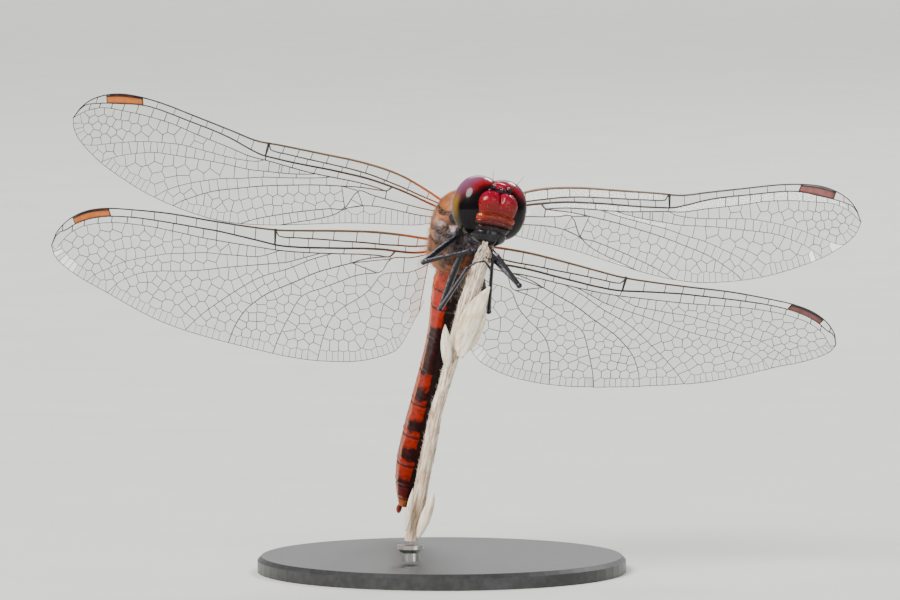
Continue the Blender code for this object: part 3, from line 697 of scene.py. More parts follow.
    def strips(self):
        """Cells of membrane between the neighbouring veins that have only rungs between them."""
        kind = self.kind
        nodus = NODUS[kind]
        ladders = (("C", "Sc", ROOT, nodus), ("Sc", "R", ROOT, nodus), ("C", "R", nodus, 0.995))
        for upper, lower, start, end in ladders + LADDERS[kind]:
            stops = [x for a, b, places in RUNGS[kind] if (a, b) == (upper, lower)
                     for x in places if start < x < end]
            stops = [start] + stops + [end]
            for x0, x1 in zip(stops, stops[1:]):
                if (upper, lower) == ("C", "R") and x0 < STIGMA[kind][1] < x1 + 0.02:
                    x0 = max(x0, STIGMA[kind][1])
                if x1 - x0 < 0.002:
                    continue
                steps = max(1, int((x1 - x0) * 60))
                top, bottom = self.run(upper, x0, x1, steps), self.run(lower, x0, x1, steps)
                for i in range(steps):
                    self.cells.append([top[i], top[i + 1], bottom[i + 1], bottom[i]])
        self.cells += [[self.at(vein, x) for vein, x in corners] for corners in CORNER_CELLS[kind]]


def edge_seeds(rim, outline):
    """The seeds of the row of small cells along the rear edge."""
    seeds = []
    travelled = EDGE_CELL * 0.5
    for a, b in zip(rim, rim[1:]):
        step = math.dist(a, b)
        while travelled < step:
            t = travelled / step
            inward = Vector((a[1] - b[1], b[0] - a[0])).normalized() * EDGE_DEPTH
            if inward.y > 0:
                inward = -inward
            seed = (a[0] + (b[0] - a[0]) * t + inward.x, a[1] + (b[1] - a[1]) * t + inward.y)
            if inside(outline, seed):
                seeds.append(seed)
            travelled += EDGE_CELL * (0.85 + 0.3 * rng.random())
        travelled -= step
    return seeds


def scatter(outline, fixed, area_near, area_far):
    """Seeds for the other cells, whose area changes from the near end of the outline to the far."""
    x0, x1 = min(p[0] for p in outline), max(p[0] for p in outline)
    low, high = min(p[1] for p in outline), max(p[1] for p in outline)

    def wanted(x):
        return area_near + (area_far - area_near) * (x - x0) / max(0.1, x1 - x0)

    loose, hits = [], []
    total = 0.0
    for _ in range(TRIALS):
        p = (x0 + (x1 - x0) * rng.random(), low + (high - low) * rng.random())
        if inside(outline, p):
            hits.append(p)
            total += 1 / wanted(p[0])
    count = total * (x1 - x0) * (high - low) / TRIALS
    count = max(1, round(count - len(fixed) * EDGE_CELL * EDGE_DEPTH * 2 / area_far))
    for _ in range(count):                              # the best of several keeps the start even
        best, score = None, -1.0
        for _ in range(12):
            p = hits[rng.randrange(len(hits))]
            near = min((math.dist(p, q) for q in fixed + loose), default=9.0) / math.sqrt(wanted(p[0]))
            if near > score:
                best, score = p, near
        loose.append(best)
    return loose


def inside(outline, p):
    """Whether a point lies within an outline."""
    hit = False
    j = len(outline) - 1
    for i, (xi, yi) in enumerate(outline):
        xj, yj = outline[j]
        if (yi > p[1]) != (yj > p[1]) and p[0] < (xj - xi) * (p[1] - yi) / (yj - yi) + xi:
            hit = not hit
        j = i
    return hit


def middle(poly):
    """The centre of area of a polygon, or None where it has no area."""
    area = cx = cy = 0.0
    for i, (x0, y0) in enumerate(poly):
        x1, y1 = poly[(i + 1) % len(poly)]
        cross = x0 * y1 - x1 * y0
        area += cross
        cx += (x0 + x1) * cross
        cy += (y0 + y1) * cross
    return (cx / (3 * area), cy / (3 * area)) if abs(area) > 1e-6 else None


def voronoi(outline, seeds):
    """Each seed's part of the outline, and for each side the seed across it or -1."""
    result = []
    for k, (sx, sy) in enumerate(seeds):
        near = sorted((((qx - sx) ** 2 + (qy - sy) ** 2), j) for j, (qx, qy) in enumerate(seeds)
                      if j != k)[:NEIGHBOURS]
        poly, owners = list(outline), [-1] * len(outline)
        for _, j in near:
            qx, qy = seeds[j]
            nx, ny = qx - sx, qy - sy
            limit = (qx * qx + qy * qy - sx * sx - sy * sy) / 2
            side = [px * nx + py * ny - limit for px, py in poly]
            if all(s <= 0 for s in side):
                continue
            cut, tags = [], []
            for i, (px, py) in enumerate(poly):
                a, b = side[i], side[(i + 1) % len(poly)]
                bx, by = poly[(i + 1) % len(poly)]
                if a <= 0:
                    cut.append((px, py))
                    tags.append(owners[i])
                if (a <= 0) != (b <= 0):
                    t = a / (a - b)
                    cut.append((px + (bx - px) * t, py + (by - py) * t))
                    tags.append(j if a <= 0 else owners[i])
            poly, owners = cut, tags
            if len(poly) < 3:
                break
        result.append((poly, owners))
    return result


# ---- build: materials ----

def eye_material():
    """Mauve above, partly its own colour and partly a painted sky reflection; a red band under it and near
    black below, with an olive rear edge.
    """
    m = Nodes("eye_glass", roughness=0.24, coat=0.24, coat_roughness=0.03, specular=0.06)
    up, ahead, side = m.part(2), m.part(1), m.math("ABSOLUTE", m.part(0))
    wobble = m.times(m.minus(m.noise(1.1, 3.0), 0.5), 0.7)
    # the bands sink towards the outer side and rise towards the face
    height = m.plus(m.plus(up, wobble), m.times(side, 0.6))
    height = m.minus(height, m.times(ahead, 0.5))
    level = m.span(height, 0.0, 3.6, smooth=False)
    # the pale mauve at the top of this ramp is partly a painted sky reflection over the eye's own dark red
    colour = m.ramp(level, (0.0, (0.002, 0.001, 0.002)), (0.32, (0.004, 0.001, 0.002)),
                    (0.42, (0.045, 0.002, 0.003)), (0.49, (0.19, 0.004, 0.008)),
                    (0.56, (0.19, 0.01, 0.02)), (0.66, (0.17, 0.032, 0.062)),
                    (0.86, (0.18, 0.066, 0.13)))
    # the outer side has no red band; its mauve top is partly a painted sky reflection
    plain = m.ramp(level, (0.34, (0.003, 0.002, 0.003)), (0.5, (0.05, 0.014, 0.018)),
                   (0.62, (0.1, 0.032, 0.055)), (0.84, (0.175, 0.068, 0.13)))
    colour = m.mix(m.times(m.span(side, 1.5, 2.5), 0.9), colour, plain)
    rear = m.span(ahead, 0.35, 0.9, 1.0, 0.0)
    rear = m.times(m.times(rear, m.span(side, 1.7, 2.2)), m.span(up, 0.35, 1.05, 1.0, 0.0))
    olive = m.mix(m.span(up, -1.6, 0.4), (0.022, 0.018, 0.004), (0.19, 0.1, 0.014))
    m.colour(m.mix(rear, colour, olive))
    m.bump(m.cells(24.0), 0.18, 0.004)
    return m.material


def face_material():
    """Crimson forehead, an orange line, the dark red face plate with painted orange highlights at its ends,
    and black lips.
    """
    m = Nodes("face_shell", roughness=0.25, coat=0.22, coat_roughness=0.08, specular=0.16)
    up = m.part(2)
    bits = m.times(m.minus(m.noise(3.2, 4.0), 0.5), 0.24)
    height = m.plus(up, bits)
    colour = m.ramp(m.span(height, -2.0, 1.6, smooth=False),
                    (0.0, (0.003, 0.002, 0.002)), (0.2, (0.005, 0.002, 0.002)),
                    (0.25, (0.04, 0.003, 0.002)), (0.34, (0.13, 0.008, 0.003)),
                    (0.44, (0.11, 0.007, 0.003)), (0.462, (0.3, 0.048, 0.008)),
                    (0.484, (0.13, 0.003, 0.002)), (0.66, (0.185, 0.001, 0.004)),
                    (0.92, (0.25, 0.001, 0.02)))
    # painted highlight: the plate is painted bright orange at both outer ends, as if lit there
    ends = m.times(m.span(m.math("ABSOLUTE", m.part(0)), 0.8, 1.6), m.band(up, -0.62, 0.16, 0.25))
    colour = m.mix(m.times(ends, 0.7), colour, (0.36, 0.036, 0.005))
    speck = m.span(m.noise(7.0, 5.0), 0.5, 0.66)
    m.colour(m.mix(m.times(speck, 0.55), colour, (0.055, 0.002, 0.003)))
    pits = m.span(m.cells(6.5), 0.0, 0.45)
    m.bump(m.plus(pits, m.times(m.noise(18.0, 3.0), 0.5)), 0.45, 0.03)
    return m.material


def dark_shell(name, colour=(0.006, 0.005, 0.007), roughness=0.26):
    """A glossy shell, black unless a colour is given."""
    m = Nodes(name, roughness=roughness, coat=0.25, coat_roughness=0.12, specular=0.15)
    tone = m.span(m.noise(2.0, 4.0), 0.35, 0.75)
    m.colour(m.mix(tone, colour, tuple(min(1.0, c * 1.8 + 0.003) for c in colour)))
    m.bump(m.noise(12.0, 4.0), 0.4, 0.01)
    return m.material


def leg_material():
    """Black, with a painted pale lilac sheen broken along the faces turned up and left towards the key
    lamp.
    """
    m = Nodes("leg_shell", roughness=0.3, coat=0.3, coat_roughness=0.15, specular=0.3)
    facing = m.node("ShaderNodeSeparateXYZ")
    m.link(m.node("ShaderNodeNewGeometry").outputs["Normal"], facing.inputs[0])
    # painted highlight: faces turned towards the key lamp, up and to the left, get a pale lilac sheen
    lit = m.minus(m.times(facing.outputs["Z"], 0.6), m.times(facing.outputs["X"], 0.7))
    upper = m.span(lit, 0.15, 0.65)
    painted_sheen = m.times(upper, m.span(m.noise(5.0, 4.0), 0.4, 0.6))
    m.colour(m.mix(painted_sheen, (0.005, 0.005, 0.008), (0.15, 0.14, 0.2)))
    m.bump(m.noise(18.0, 4.0), 0.4, 0.01)
    return m.material


def thorax_material():
    """Rusty orange with slanting black seams, a blue-grey shoulder and a dark belly."""
    m = Nodes("thorax_shell", roughness=0.48, specular=0.28, coat=0.08, coat_roughness=0.3)
    x, y, z = (m.part(i) for i in range(3))
    side = m.math("ABSOLUTE", x)
    station = m.plus(m.plus(y, m.times(z, RAKE)),
                     m.times(m.minus(m.noise(0.9, 3.0), 0.5), 0.9))
    warm = m.ramp(m.noise(0.9, 5.0), (0.28, (0.06, 0.014, 0.007)), (0.46, (0.18, 0.038, 0.01)),
                  (0.62, (0.31, 0.082, 0.016)), (0.78, (0.4, 0.145, 0.036)))
    back = m.mix(m.span(z, 0.9, 2.4), warm, (0.15, 0.036, 0.018))
    # a grey-blue field with orange islands low on the shoulder, then a paler strip
    low = m.span(m.plus(z, m.times(m.noise(0.9, 2.0), 0.9)), 0.15, -0.45)
    low = m.times(low, m.band(y, 1.3, 1.0, 0.5))
    islands = m.span(m.noise(1.3, 2.0), 0.48, 0.56)
    field = m.mix(islands, (0.07, 0.076, 0.11), (0.5, 0.14, 0.024))
    ground = m.mix(low, back, field)
    ground = m.mix(m.times(m.band(station, 1.15, 0.18, 0.15), m.span(z, -0.8, -1.4)), ground,
                   (0.4, 0.26, 0.23))
    ground = m.mix(m.times(m.span(y, -0.6, -1.8), m.span(z, 0.2, -0.8)), ground,
                   (0.42, 0.105, 0.018))
    lines = m.most(*(m.band(station, centre, half, 0.16)
                     for centre, half in ((2.05, 0.12), (0.35, 0.14), (-0.75, 0.09), (-1.9, 0.12))))
    lines = m.times(lines, m.span(side, 0.45, 0.95))
    seam = m.times(m.band(x, 0.0, 0.05, 0.08), m.span(z, 0.0, 1.0))
    belly = m.times(m.span(m.noise(1.3, 3.0), 0.4, 0.56), m.span(z, -1.5, -2.4))
    dark = m.most(lines, seam, belly)
    m.colour(m.mix(dark, ground, (0.008, 0.006, 0.009)))
    m.bump(m.plus(m.noise(7.0, 5.0), m.times(lines, -1.2)), 0.5, 0.05)
    return m.material


TAIL_LENGTH = 23.0
# along the flanks from the front, in millimetres: where each colour starts
FLANK = ((0.0, "red"), (4.5, "dark"), (9.3, "red"), (10.7, "dark"), (12.0, "red"), (13.8, "dark"),
         (14.9, "red"), (16.6, "dark"), (17.9, "red"), (19.7, "dark"), (20.4, "maroon"), (21.7, "orange"))


def tail_material(joints):
    """Red with black rings at the joints, blotched flanks, a black belly; local y runs forward."""
    m = Nodes("tail_shell", roughness=0.3, coat=0.2, coat_roughness=0.15, specular=0.28, subsurface=0.02)
    x, y, z = (m.part(i) for i in range(3))
    down = m.times(y, -1.0)
    paint = {"red": (0.4, 0.02, 0.006), "dark": (0.014, 0.005, 0.005), "maroon": (0.1, 0.01, 0.01),
             "orange": (0.48, 0.1, 0.016)}
    red = m.ramp(m.span(down, 0.0, TAIL_LENGTH, smooth=False),
                 (0.0, (0.5, 0.07, 0.012)), (0.22, (0.46, 0.04, 0.01)), (0.5, (0.38, 0.016, 0.006)),
                 (0.84, (0.24, 0.014, 0.01)), (0.95, (0.46, 0.09, 0.016)))
    ragged = m.minus(m.noise(1.4, 4.0), 0.5)
    waved = m.plus(down, m.times(ragged, 1.6))
    stops = []
    for (start, name), (end, _) in zip(FLANK, FLANK[1:] + ((TAIL_LENGTH, ""),)):
        stops += [(place / TAIL_LENGTH, paint[name]) for place in (start + 0.12, end - 0.12)]
    flank = m.ramp(m.span(waved, 0.0, TAIL_LENGTH, smooth=False), *stops)
    # round the body: 0 at the middle of the belly, 1 at the middle of the back
    round_way = m.math("DIVIDE", m.math("ARCTAN2", m.math("ABSOLUTE", x), m.times(z, -1.0)), math.pi)
    edge = m.plus(round_way, m.times(ragged, 0.1))
    side = m.mix(m.span(edge, 0.5, 0.6), flank, red)
    rim = m.band(edge, 0.53, 0.012, 0.02)
    side = m.mix(rim, side, (0.5, 0.11, 0.016))
    rings = m.most(*(m.band(down, place, 0.07, 0.1) for place in joints))
    belly = m.span(edge, 0.185, 0.225, 1.0, 0.0)
    dark = m.most(belly, m.times(rings, 0.8))
    shade = m.mix(m.span(m.noise(3.0, 4.0), 0.45, 0.7, 0.0, 0.6), side, (0.1, 0.006, 0.005))
    m.colour(m.mix(dark, shade, (0.01, 0.005, 0.005)))
    m.bump(m.plus(m.cells(9.0), m.noise(16.0, 3.0)), 0.3, 0.012)
    return m.material


def marked_material(name, *stops, **settings):
    """Coloured by each point's mark, from 0 to 1."""
    m = Nodes(name, **settings)
    m.colour(m.ramp(m.mark(), *stops))
    return m.material


def vein_materials():
    """Orange-red at the body, straw brown along the middle and near black at the tip."""
    return [
        marked_material("wing_vein", (0.0, (0.55, 0.07, 0.008)), (0.035, (0.42, 0.065, 0.01)),
                        (0.075, (0.14, 0.045, 0.012)), (0.16, (0.05, 0.026, 0.012)),
                        (0.4, (0.022, 0.013, 0.009)), (0.95, (0.012, 0.009, 0.008)),
                        roughness=0.4, specular=0.3),
        marked_material("wing_front_vein", (0.0, (0.6, 0.085, 0.01)), (0.06, (0.42, 0.08, 0.012)),
                        (0.12, (0.16, 0.07, 0.02)), (0.4, (0.085, 0.05, 0.024)),
                        (0.62, (0.03, 0.018, 0.012)), (0.8, (0.008, 0.006, 0.006)),
                        roughness=0.36, specular=0.4)]


def spot_material(name, main):
    """The wing spot, in its main colour with black along the front edge (mark 0)."""
    m = Nodes(name, roughness=0.35, coat=0.3, coat_roughness=0.15, specular=0.3)
    colour = m.ramp(m.mark(), (0.0, (0.006, 0.005, 0.006)), (0.24, (0.01, 0.006, 0.007)), (0.36, main),
                    (0.8, tuple(c * 1.15 for c in main)), (1.0, (0.02, 0.01, 0.008)))
    shade = m.span(m.noise(2.2, 4.0), 0.4, 0.7)
    m.colour(m.mix(m.times(shade, 0.45), colour, tuple(c * 0.3 for c in main)))
    return m.material


def straw_material():
    """Bleached fibres with brown streaks, browner towards the foot of the stem."""
    m = Nodes("straw", roughness=0.72, specular=0.25, sheen=0.15)
    fibre = m.fibres(5.0, 0.35, 1.6, 5.0, 0.65)
    colour = m.ramp(fibre, (0.31, (0.09, 0.04, 0.022)), (0.4, (0.33, 0.2, 0.125)),
                    (0.48, (0.68, 0.55, 0.42)), (0.62, (0.93, 0.88, 0.78)))
    colour = m.mix(m.span(m.part(2), 3.0, 17.0, 0.45, 0.0), colour, (0.4, 0.26, 0.16))
    blotch = m.span(m.noise(0.45, 3.0), 0.48, 0.66)
    m.colour(m.mix(m.times(blotch, 0.4), colour, (0.38, 0.23, 0.15)))
    m.bump(fibre, 0.9, 0.08)
    return m.material


def husk_material():
    """Paler than the stem, with golden patches."""
    m = Nodes("straw_husk", roughness=0.62, specular=0.3, subsurface=0.1)
    fibre = m.fibres(4.0, 0.4, 1.5, 4.0, 0.6)
    colour = m.ramp(fibre, (0.28, (0.38, 0.23, 0.11)), (0.44, (0.72, 0.59, 0.42)),
                    (0.62, (0.9, 0.84, 0.74)))
    gold = m.span(m.noise(0.7, 2.0), 0.5, 0.66)
    m.colour(m.mix(m.times(gold, 0.5), colour, (0.6, 0.36, 0.13)))
    m.bump(fibre, 0.6, 0.05)
    return m.material


def hair_material(name, root, tip):
    return marked_material(name, (0.0, root), (1.0, tip), roughness=0.5, specular=0.4, sheen=0.2)


# ---- build: wings ----

THICK_VEIN = 0.05                              # a radius above which a vein has six sides
AMBER_ROOT = {"fore": 0.025, "hind": 0.035}    # the share of the span whose cells are amber
SPOT_TOP, SPOT_UNDER = 0.07, -0.05             # the two faces of the wing spot
EDGE_ROW = 0.62                                # the cells this near the rear edge can be painted white as glints
# how many of the cells along the rear edge are painted white as glints of light, by their place along the
# wing
GLINTS = {
    "forewing_right": ((0.0, 0.0), (1.0, 0.0)),
    "forewing_left": ((0.0, 0.0), (0.8, 0.0), (0.92, 0.35)),
    "hindwing_right": ((0.0, 0.0), (0.9, 0.0), (0.94, 0.7)),
    "hindwing_left": ((0.0, 0.4), (0.04, 1.0), (0.22, 0.9), (0.3, 0.25), (0.7, 0.15), (0.95, 0.3)),
}


def veins_piece(name, net, place, looks):
    veins = Shape()
    for i, (points, radius) in enumerate(net.lines):
        radii = radius if isinstance(radius, list) else [radius] * len(points)
        sides = 6 if max(radii) > THICK_VEIN else 4
        marks = [min(1.0, p[0] / net.length) for p in points]
        # the first line is the front edge, which has a look of its own
        veins.tube([place(p) for p in points], radii, sides, marks, slot=1 if i == 0 else 0)
    veins.make(f"{name}_veins", looks, "wing", place=THORAX)


def membrane_piece(name, net, place, looks):
    """Each cell is a shallow fan of triangles, clear, amber or painted white as a glint."""
    sheet = Shape()
    shimmer = random.Random(11)
    for cell in net.cells:
        centre = (sum(p[0] for p in cell) / len(cell), sum(p[1] for p in cell) / len(cell))
        x = min(1.0, centre[0] / net.length)
        to_rear = along(REAR[net.kind], x) * net.length - centre[1]
        slot = 0
        if x < AMBER_ROOT[net.kind]:
            slot = 2
        # cells along the rear edge can be painted near white: a painted glint of reflected light
        elif to_rear < EDGE_ROW and shimmer.random() < linear(GLINTS[name], x):
            slot = 1
        bulge = (shimmer.random() - 0.4) * 0.05
        ring = [place(p, 0.015 * noise.noise(Vector((p[0] * 1.7, p[1] * 1.7, 3.0)))) for p in cell]
        count = len(ring)
        fan = [(i, (i + 1) % count, count) for i in range(count)]
        sheet.add(ring + [place(centre, bulge)], fan, x, slot=slot)
    sheet.make(f"{name}_membrane", looks, "wing", (name,), place=THORAX)


def spot_piece(name, net, place, look):
    """The wing spot, a thin plate with rounded edges between the front vein and the next."""
    start, end = STIGMA[net.kind]
    plate = Shape()
    rings, marks = [], []
    for i in range(13):
        x = start + (end - start) * i / 12
        a, b = net.at("C", x), net.at("R", x - 0.008)
        ring = []
        for k in range(10):
            t = 0.5 - 0.5 * math.cos(math.pi * (k if k < 5 else 9 - k) / 4)
            p = (a[0] + (b[0] - a[0]) * t, a[1] + (b[1] - a[1]) * t)
            ring.append(place(p, SPOT_TOP if k < 5 else SPOT_UNDER))
            marks.append(t)
        rings.append(ring)
    plate.rings(rings, marks)
    plate.make(f"{name}_spot", [look], "wing", place=THORAX)


def build_wings():
    membranes = [Nodes("wing_membrane", roughness=0.12, alpha=0.17, specular=0.8,
                       colour=(0.36, 0.38, 0.33)).material,
                 # near opaque white: a painted glint, not a colour of the membrane
                 Nodes("wing_membrane_painted_glint", roughness=0.2, alpha=0.92, specular=0.9,
                       colour=(0.92, 0.94, 1.0)).material,
                 Nodes("wing_membrane_amber", roughness=0.15, alpha=0.3, specular=0.6,
                       colour=(0.66, 0.3, 0.05)).material]
    veins = vein_materials()
    # one spot in two copies: lit tan on the right wings, and a darker mauve on the left as painted shade
    spots = {"right": spot_material("wing_spot_lit_tan", (0.42, 0.115, 0.022)),
             "left": spot_material("wing_spot_shaded_mauve", (0.19, 0.06, 0.058))}
    nets = {kind: Venation(kind) for kind in LENGTHS}
    for name, (kind, *pose) in WINGS.items():
        net = nets[kind]

        def place(p, lift=0.0):
            return wing_place(kind, *pose, p[0] / net.length, p[1] / net.length, net.pleat(*p) + lift)

        veins_piece(name, net, place, veins)
        membrane_piece(name, net, place, membranes)
        spot_piece(name, net, place, spots[name.split("_")[1]])


# ---- build: head ----

SIDES = ((1, "right"), (-1, "left"))
EYE_RADII = Vector((1.9, 1.64, 2.28))
EYE_AT = Vector((5.75 / 2 - EYE_RADII.x, 0.12, 0.19))
FACE_SHAPE = (                                 # height, reach forward, half width
    (-1.85, 1.5, 1.15), (-1.45, 1.8, 1.42), (-1.22, 1.86, 1.54), (-0.85, 2.0, 1.68), (-0.35, 2.02, 1.66),
    (0.3, 2.25, 1.72), (0.75, 2.25, 1.64), (1.15, 2.05, 1.38), (1.38, 1.72, 1.0), (1.46, 1.3, 0.6))
FACE_BACK = 0.3


def face_point(share, height, grow=0.0):
    """A point of the face: share runs from -1 to 1 across it, height up from the head's middle."""
    front = along([(row[0], row[1]) for row in FACE_SHAPE], height)
    width = along([(row[0], row[2]) for row in FACE_SHAPE], height)
    x = (width + grow) * share
    reach = (1 - min(1.0, abs(share)) ** 4) ** 0.25
    push = -0.34 * bell(x, 0.0, 0.15) * max(0.0, min(1.0, (height - 0.15) / 0.95)) ** 0.8
    push += 0.1 * bell(abs(x), 0.66, 0.45) * bell(height, 0.78, 0.5)
    push += 0.07 * bell(height, -0.62, 0.2) * (1 - 0.35 * bell(x, 0.0, 0.5))
    push += 0.05 * bell(height, -1.06, 0.12) + 0.05 * bell(height, -1.5, 0.2)
    for groove, depth in ((-0.35, 0.13), (-0.86, 0.05), (-1.24, 0.12)):
        push -= depth * bell(height, groove - 0.05 * (x / 1.6) ** 2, 0.045)
    p = Vector((x, FACE_BACK + (front + grow - FACE_BACK) * reach, height))
    push += 0.022 * noise.noise(p * 1.6) + 0.01 * noise.noise(p * 5.0)
    p.y += push * reach
    p.x += push * 0.6 * share ** 5
    return p


def build_eyes():
    eye = eye_material()
    for side, name in SIDES:
        globe = ellipsoid((side * EYE_AT.x, EYE_AT.y, EYE_AT.z), EYE_RADII, HEAD, 96, 64, 2.15, side)
        piece(f"eye_{name}_globe", *globe, [eye], "eye", (f"eye_{name}",), place=HEAD)


def build_face(face):
    """Forehead with two lobes, face plate and upper lip in one skin, closed behind."""
    verts, faces = [], []
    columns, rows = 96, 130
    foot, crest = FACE_SHAPE[0][0], FACE_SHAPE[-1][0]
    for r in range(rows + 1):
        height = foot + (crest - foot) * r / rows
        for c in range(columns + 1):
            verts.append(HEAD @ face_point(math.sin(math.pi * (c / columns - 0.5)), height))
    for r in range(rows):
        for c in range(columns):
            a = r * (columns + 1) + c
            faces.append((a, a + 1, a + columns + 2, a + columns + 1))
    base = len(verts)
    verts += [HEAD @ Vector((0, 0.4, foot)), HEAD @ Vector((0, 0.4, 1.4))]
    for c in range(columns):
        faces.append((c + 1, c, base))
        faces.append((rows * (columns + 1) + c, rows * (columns + 1) + c + 1, base + 1))
    for r in range(rows):
        a, b = r * (columns + 1), r * (columns + 1) + columns
        faces.append((a + columns + 1, a, b, b + columns + 1))
    piece("face_skin", verts, faces, [face], "face", ("frons", "clypeus", "labrum"), place=HEAD)


def build_lower_lip(shell):
    """One shield with a furrow on each side of its middle lobe."""
    verts, faces = ellipsoid((0, 0.65, -1.82), (1.38, 1.17, 0.85), Matrix.Identity(4), 72, 48, 2.2)
    for v in verts:
        below = max(0.0, -1.5 - v.z) / 1.2
        furrow = bell(abs(v.x), 0.42, 0.07)
        v.y -= 0.1 * furrow * min(1.0, below * 2)
        v.z += 0.09 * furrow * below
    piece("lower_lip", [HEAD @ v for v in verts], faces, [shell], "face_dark", ("labium",), place=HEAD)


def build_vertex(face, shell):
    """A bump before the seam of the eyes, with the three simple eyes round it."""
    crown = Shape()
    crown.add(*ellipsoid((0, 1.4, 1.7), (0.62, 0.4, 0.37), HEAD, 40, 26, 2.3))
    crown.add(*ellipsoid((0, 1.38, 1.4), (1.02, 0.5, 0.26), HEAD, 40, 24), slot=1)
    for x, y, z, size in ((-0.62, 1.62, 1.66, 0.17), (0.62, 1.62, 1.66, 0.17), (0.0, 1.84, 1.52, 0.15)):
        crown.add(*ellipsoid((x, y, z), (size, size, size), HEAD, 20, 14), slot=2)
    gloss = Nodes("simple_eye", roughness=0.05, coat=0.6, coat_roughness=0.02,
                  colour=(0.012, 0.006, 0.005))
    crown.make("vertex_crown", [face, shell, gloss.material], "face", ("vertex",), place=HEAD)


def build_antennae():
    feeler = dark_shell("feeler", roughness=0.4)
    route = ((0.74, 1.7, 1.46), (0.82, 1.92, 1.7), (0.96, 2.22, 2.02), (1.12, 2.52, 2.42),
             (1.25, 2.78, 2.78))
    for side, name in SIDES:
        horn = Shape()
        path = [HEAD @ Vector(p) for p in smooth_path([(side * x, y, z) for x, y, z in route], 5)]
        # two thick joints, then a bristle
        radii = [0.11 if i < 4 else (0.075 if i < 7 else 0.028 - 0.018 * i / len(path))
                 for i in range(len(path))]
        horn.tube(path, radii, 8)
        horn.make(f"antenna_{name}_bristle", [feeler], "leg", (f"antenna_{name}",), place=HEAD)


def build_head():
    face, shell = face_material(), dark_shell("head_shell")
    build_eyes()
    # the back of the head, drawn in between the eyes
    back = ellipsoid((0, -0.7, 0.05), (2.38, 1.03, 1.68), HEAD, 56, 36)
    piece("head_back", *back, [shell], "face_dark", ("head",), place=HEAD)
    build_face(face)
    build_lower_lip(shell)
    build_vertex(face, shell)
    build_antennae()


# ---- build: thorax and tail ----

THORAX_LENGTH, THORAX_HALF_WIDTH, THORAX_HALF_HEIGHT = 7.4, 2.45, 3.15
RAKE = math.tan(math.radians(24))              # how far the thorax's stations lean back
# half width, height above and depth below the middle, as shares of their greatest, from the
# front to the rear end
THORAX_TABLES = [
    ((0.0, 0.42), (0.06, 0.66), (0.16, 0.84), (0.3, 0.96), (0.46, 1.0), (0.62, 0.99), (0.78, 0.97),
     (0.9, 0.9), (1.0, 0.74)),
    ((0.0, 0.38), (0.06, 0.66), (0.16, 0.88), (0.3, 1.0), (0.46, 1.0), (0.62, 0.98), (0.78, 0.97),
     (0.9, 0.86), (1.0, 0.62)),
    ((0.0, 0.12), (0.06, 0.22), (0.16, 0.46), (0.3, 0.78), (0.46, 0.97), (0.62, 0.98), (0.78, 0.92),
     (0.9, 0.8), (1.0, 0.6)),
]


def thorax_point(station, angle, grow=0.0):
    """A point of the thorax's surface, or outside it by grow, in the thorax's own frame."""
    width, top, bottom = (along(table, station) for table in THORAX_TABLES)
    place = THORAX_LENGTH * (0.5 - station)
    out, up = (math.copysign(abs(part) ** 0.86, part) for part in (math.cos(angle), math.sin(angle)))
    narrowing = 1.0 - 0.6 * max(0.0, up) ** 1.5
    x = (THORAX_HALF_WIDTH * width * narrowing + grow) * out
    z = (THORAX_HALF_HEIGHT * (top if up > 0 else bottom) + grow) * up
    return Vector((x, place - z * RAKE, z))


def build_thorax():
    def point(station, angle):
        p = thorax_point(station, angle)
        dent = 0.0
        if abs(math.sin(angle)) < 0.93:
            for seam in (0.22, 0.45, 0.6, 0.76):   # between the side plates
                dent -= 0.07 * bell(station, seam, 0.016)
        dent += 0.06 * noise.noise(p * 0.9) + 0.03 * noise.noise(p * 2.6)
        return THORAX @ (p + Vector((p.x, 0, p.z)).normalized() * dent)

    skin = Shape()
    skin.loft([0.5 - 0.5 * math.cos(math.pi * r / 70) for r in range(71)], 96, point)
    # the bases of the legs and the short neck ring
    for side in (-1, 1):
        for x, y, z, size in ((0.85, 2.65, -2.0, 0.58), (0.62, 1.85, -2.7, 0.62), (0.56, 0.9, -2.85, 0.62)):
            skin.add(*ellipsoid((side * x, y, z), (size * 0.85, size, size * 0.9), THORAX, 24, 16))
    skin.add(*ellipsoid((0.0, 3.15, -1.45), (1.0, 1.05, 1.15), THORAX, 36, 24))
    # the low ridge that carries the wing roots
    for _, hinge, *_ in WINGS.values():
        root = THORAX.inverted() @ Vector(hinge)
        skin.add(*ellipsoid((root.x * 0.8, root.y - 0.1, root.z - 0.12), (0.55, 0.85, 0.42),
                            THORAX, 24, 16))
    skin.make("thorax_skin", [thorax_material()], "thorax", ("thorax", "prothorax"), place=THORAX)


# length, half width and half height of each tail segment, at its front end
SEGMENTS = (
    (0.9, 1.3, 1.22), (1.8, 1.4, 1.35), (3.2, 1.28, 1.25), (3.3, 1.05, 0.95), (3.3, 1.1, 0.9),
    (3.2, 1.25, 0.95), (2.9, 1.4, 1.0), (2.1, 1.42, 1.0), (1.4, 1.2, 0.9), (0.9, 0.88, 0.72))
TAIL = axes(TAIL_BASE, *TAIL_AXES)
TAIL_ROWS = 280
TAIL_ROLL = 30.0                              # degrees, which the markings turn round the tail
CLASPER_ROUTE = ((0.3, -0.25, 0.16), (0.36, 0.25, 0.2), (0.44, 0.75, 0.25), (0.42, 1.15, 0.31),
                 (0.36, 1.42, 0.42))
CLASPER_RADII = (0.2, 0.2, 0.19, 0.18, 0.18, 0.19, 0.2, 0.22, 0.23, 0.23, 0.22, 0.2, 0.17, 0.13, 0.09,
                 0.05, 0.02)
WAIST = 1.5                                   # how far the first segment reaches into the thorax


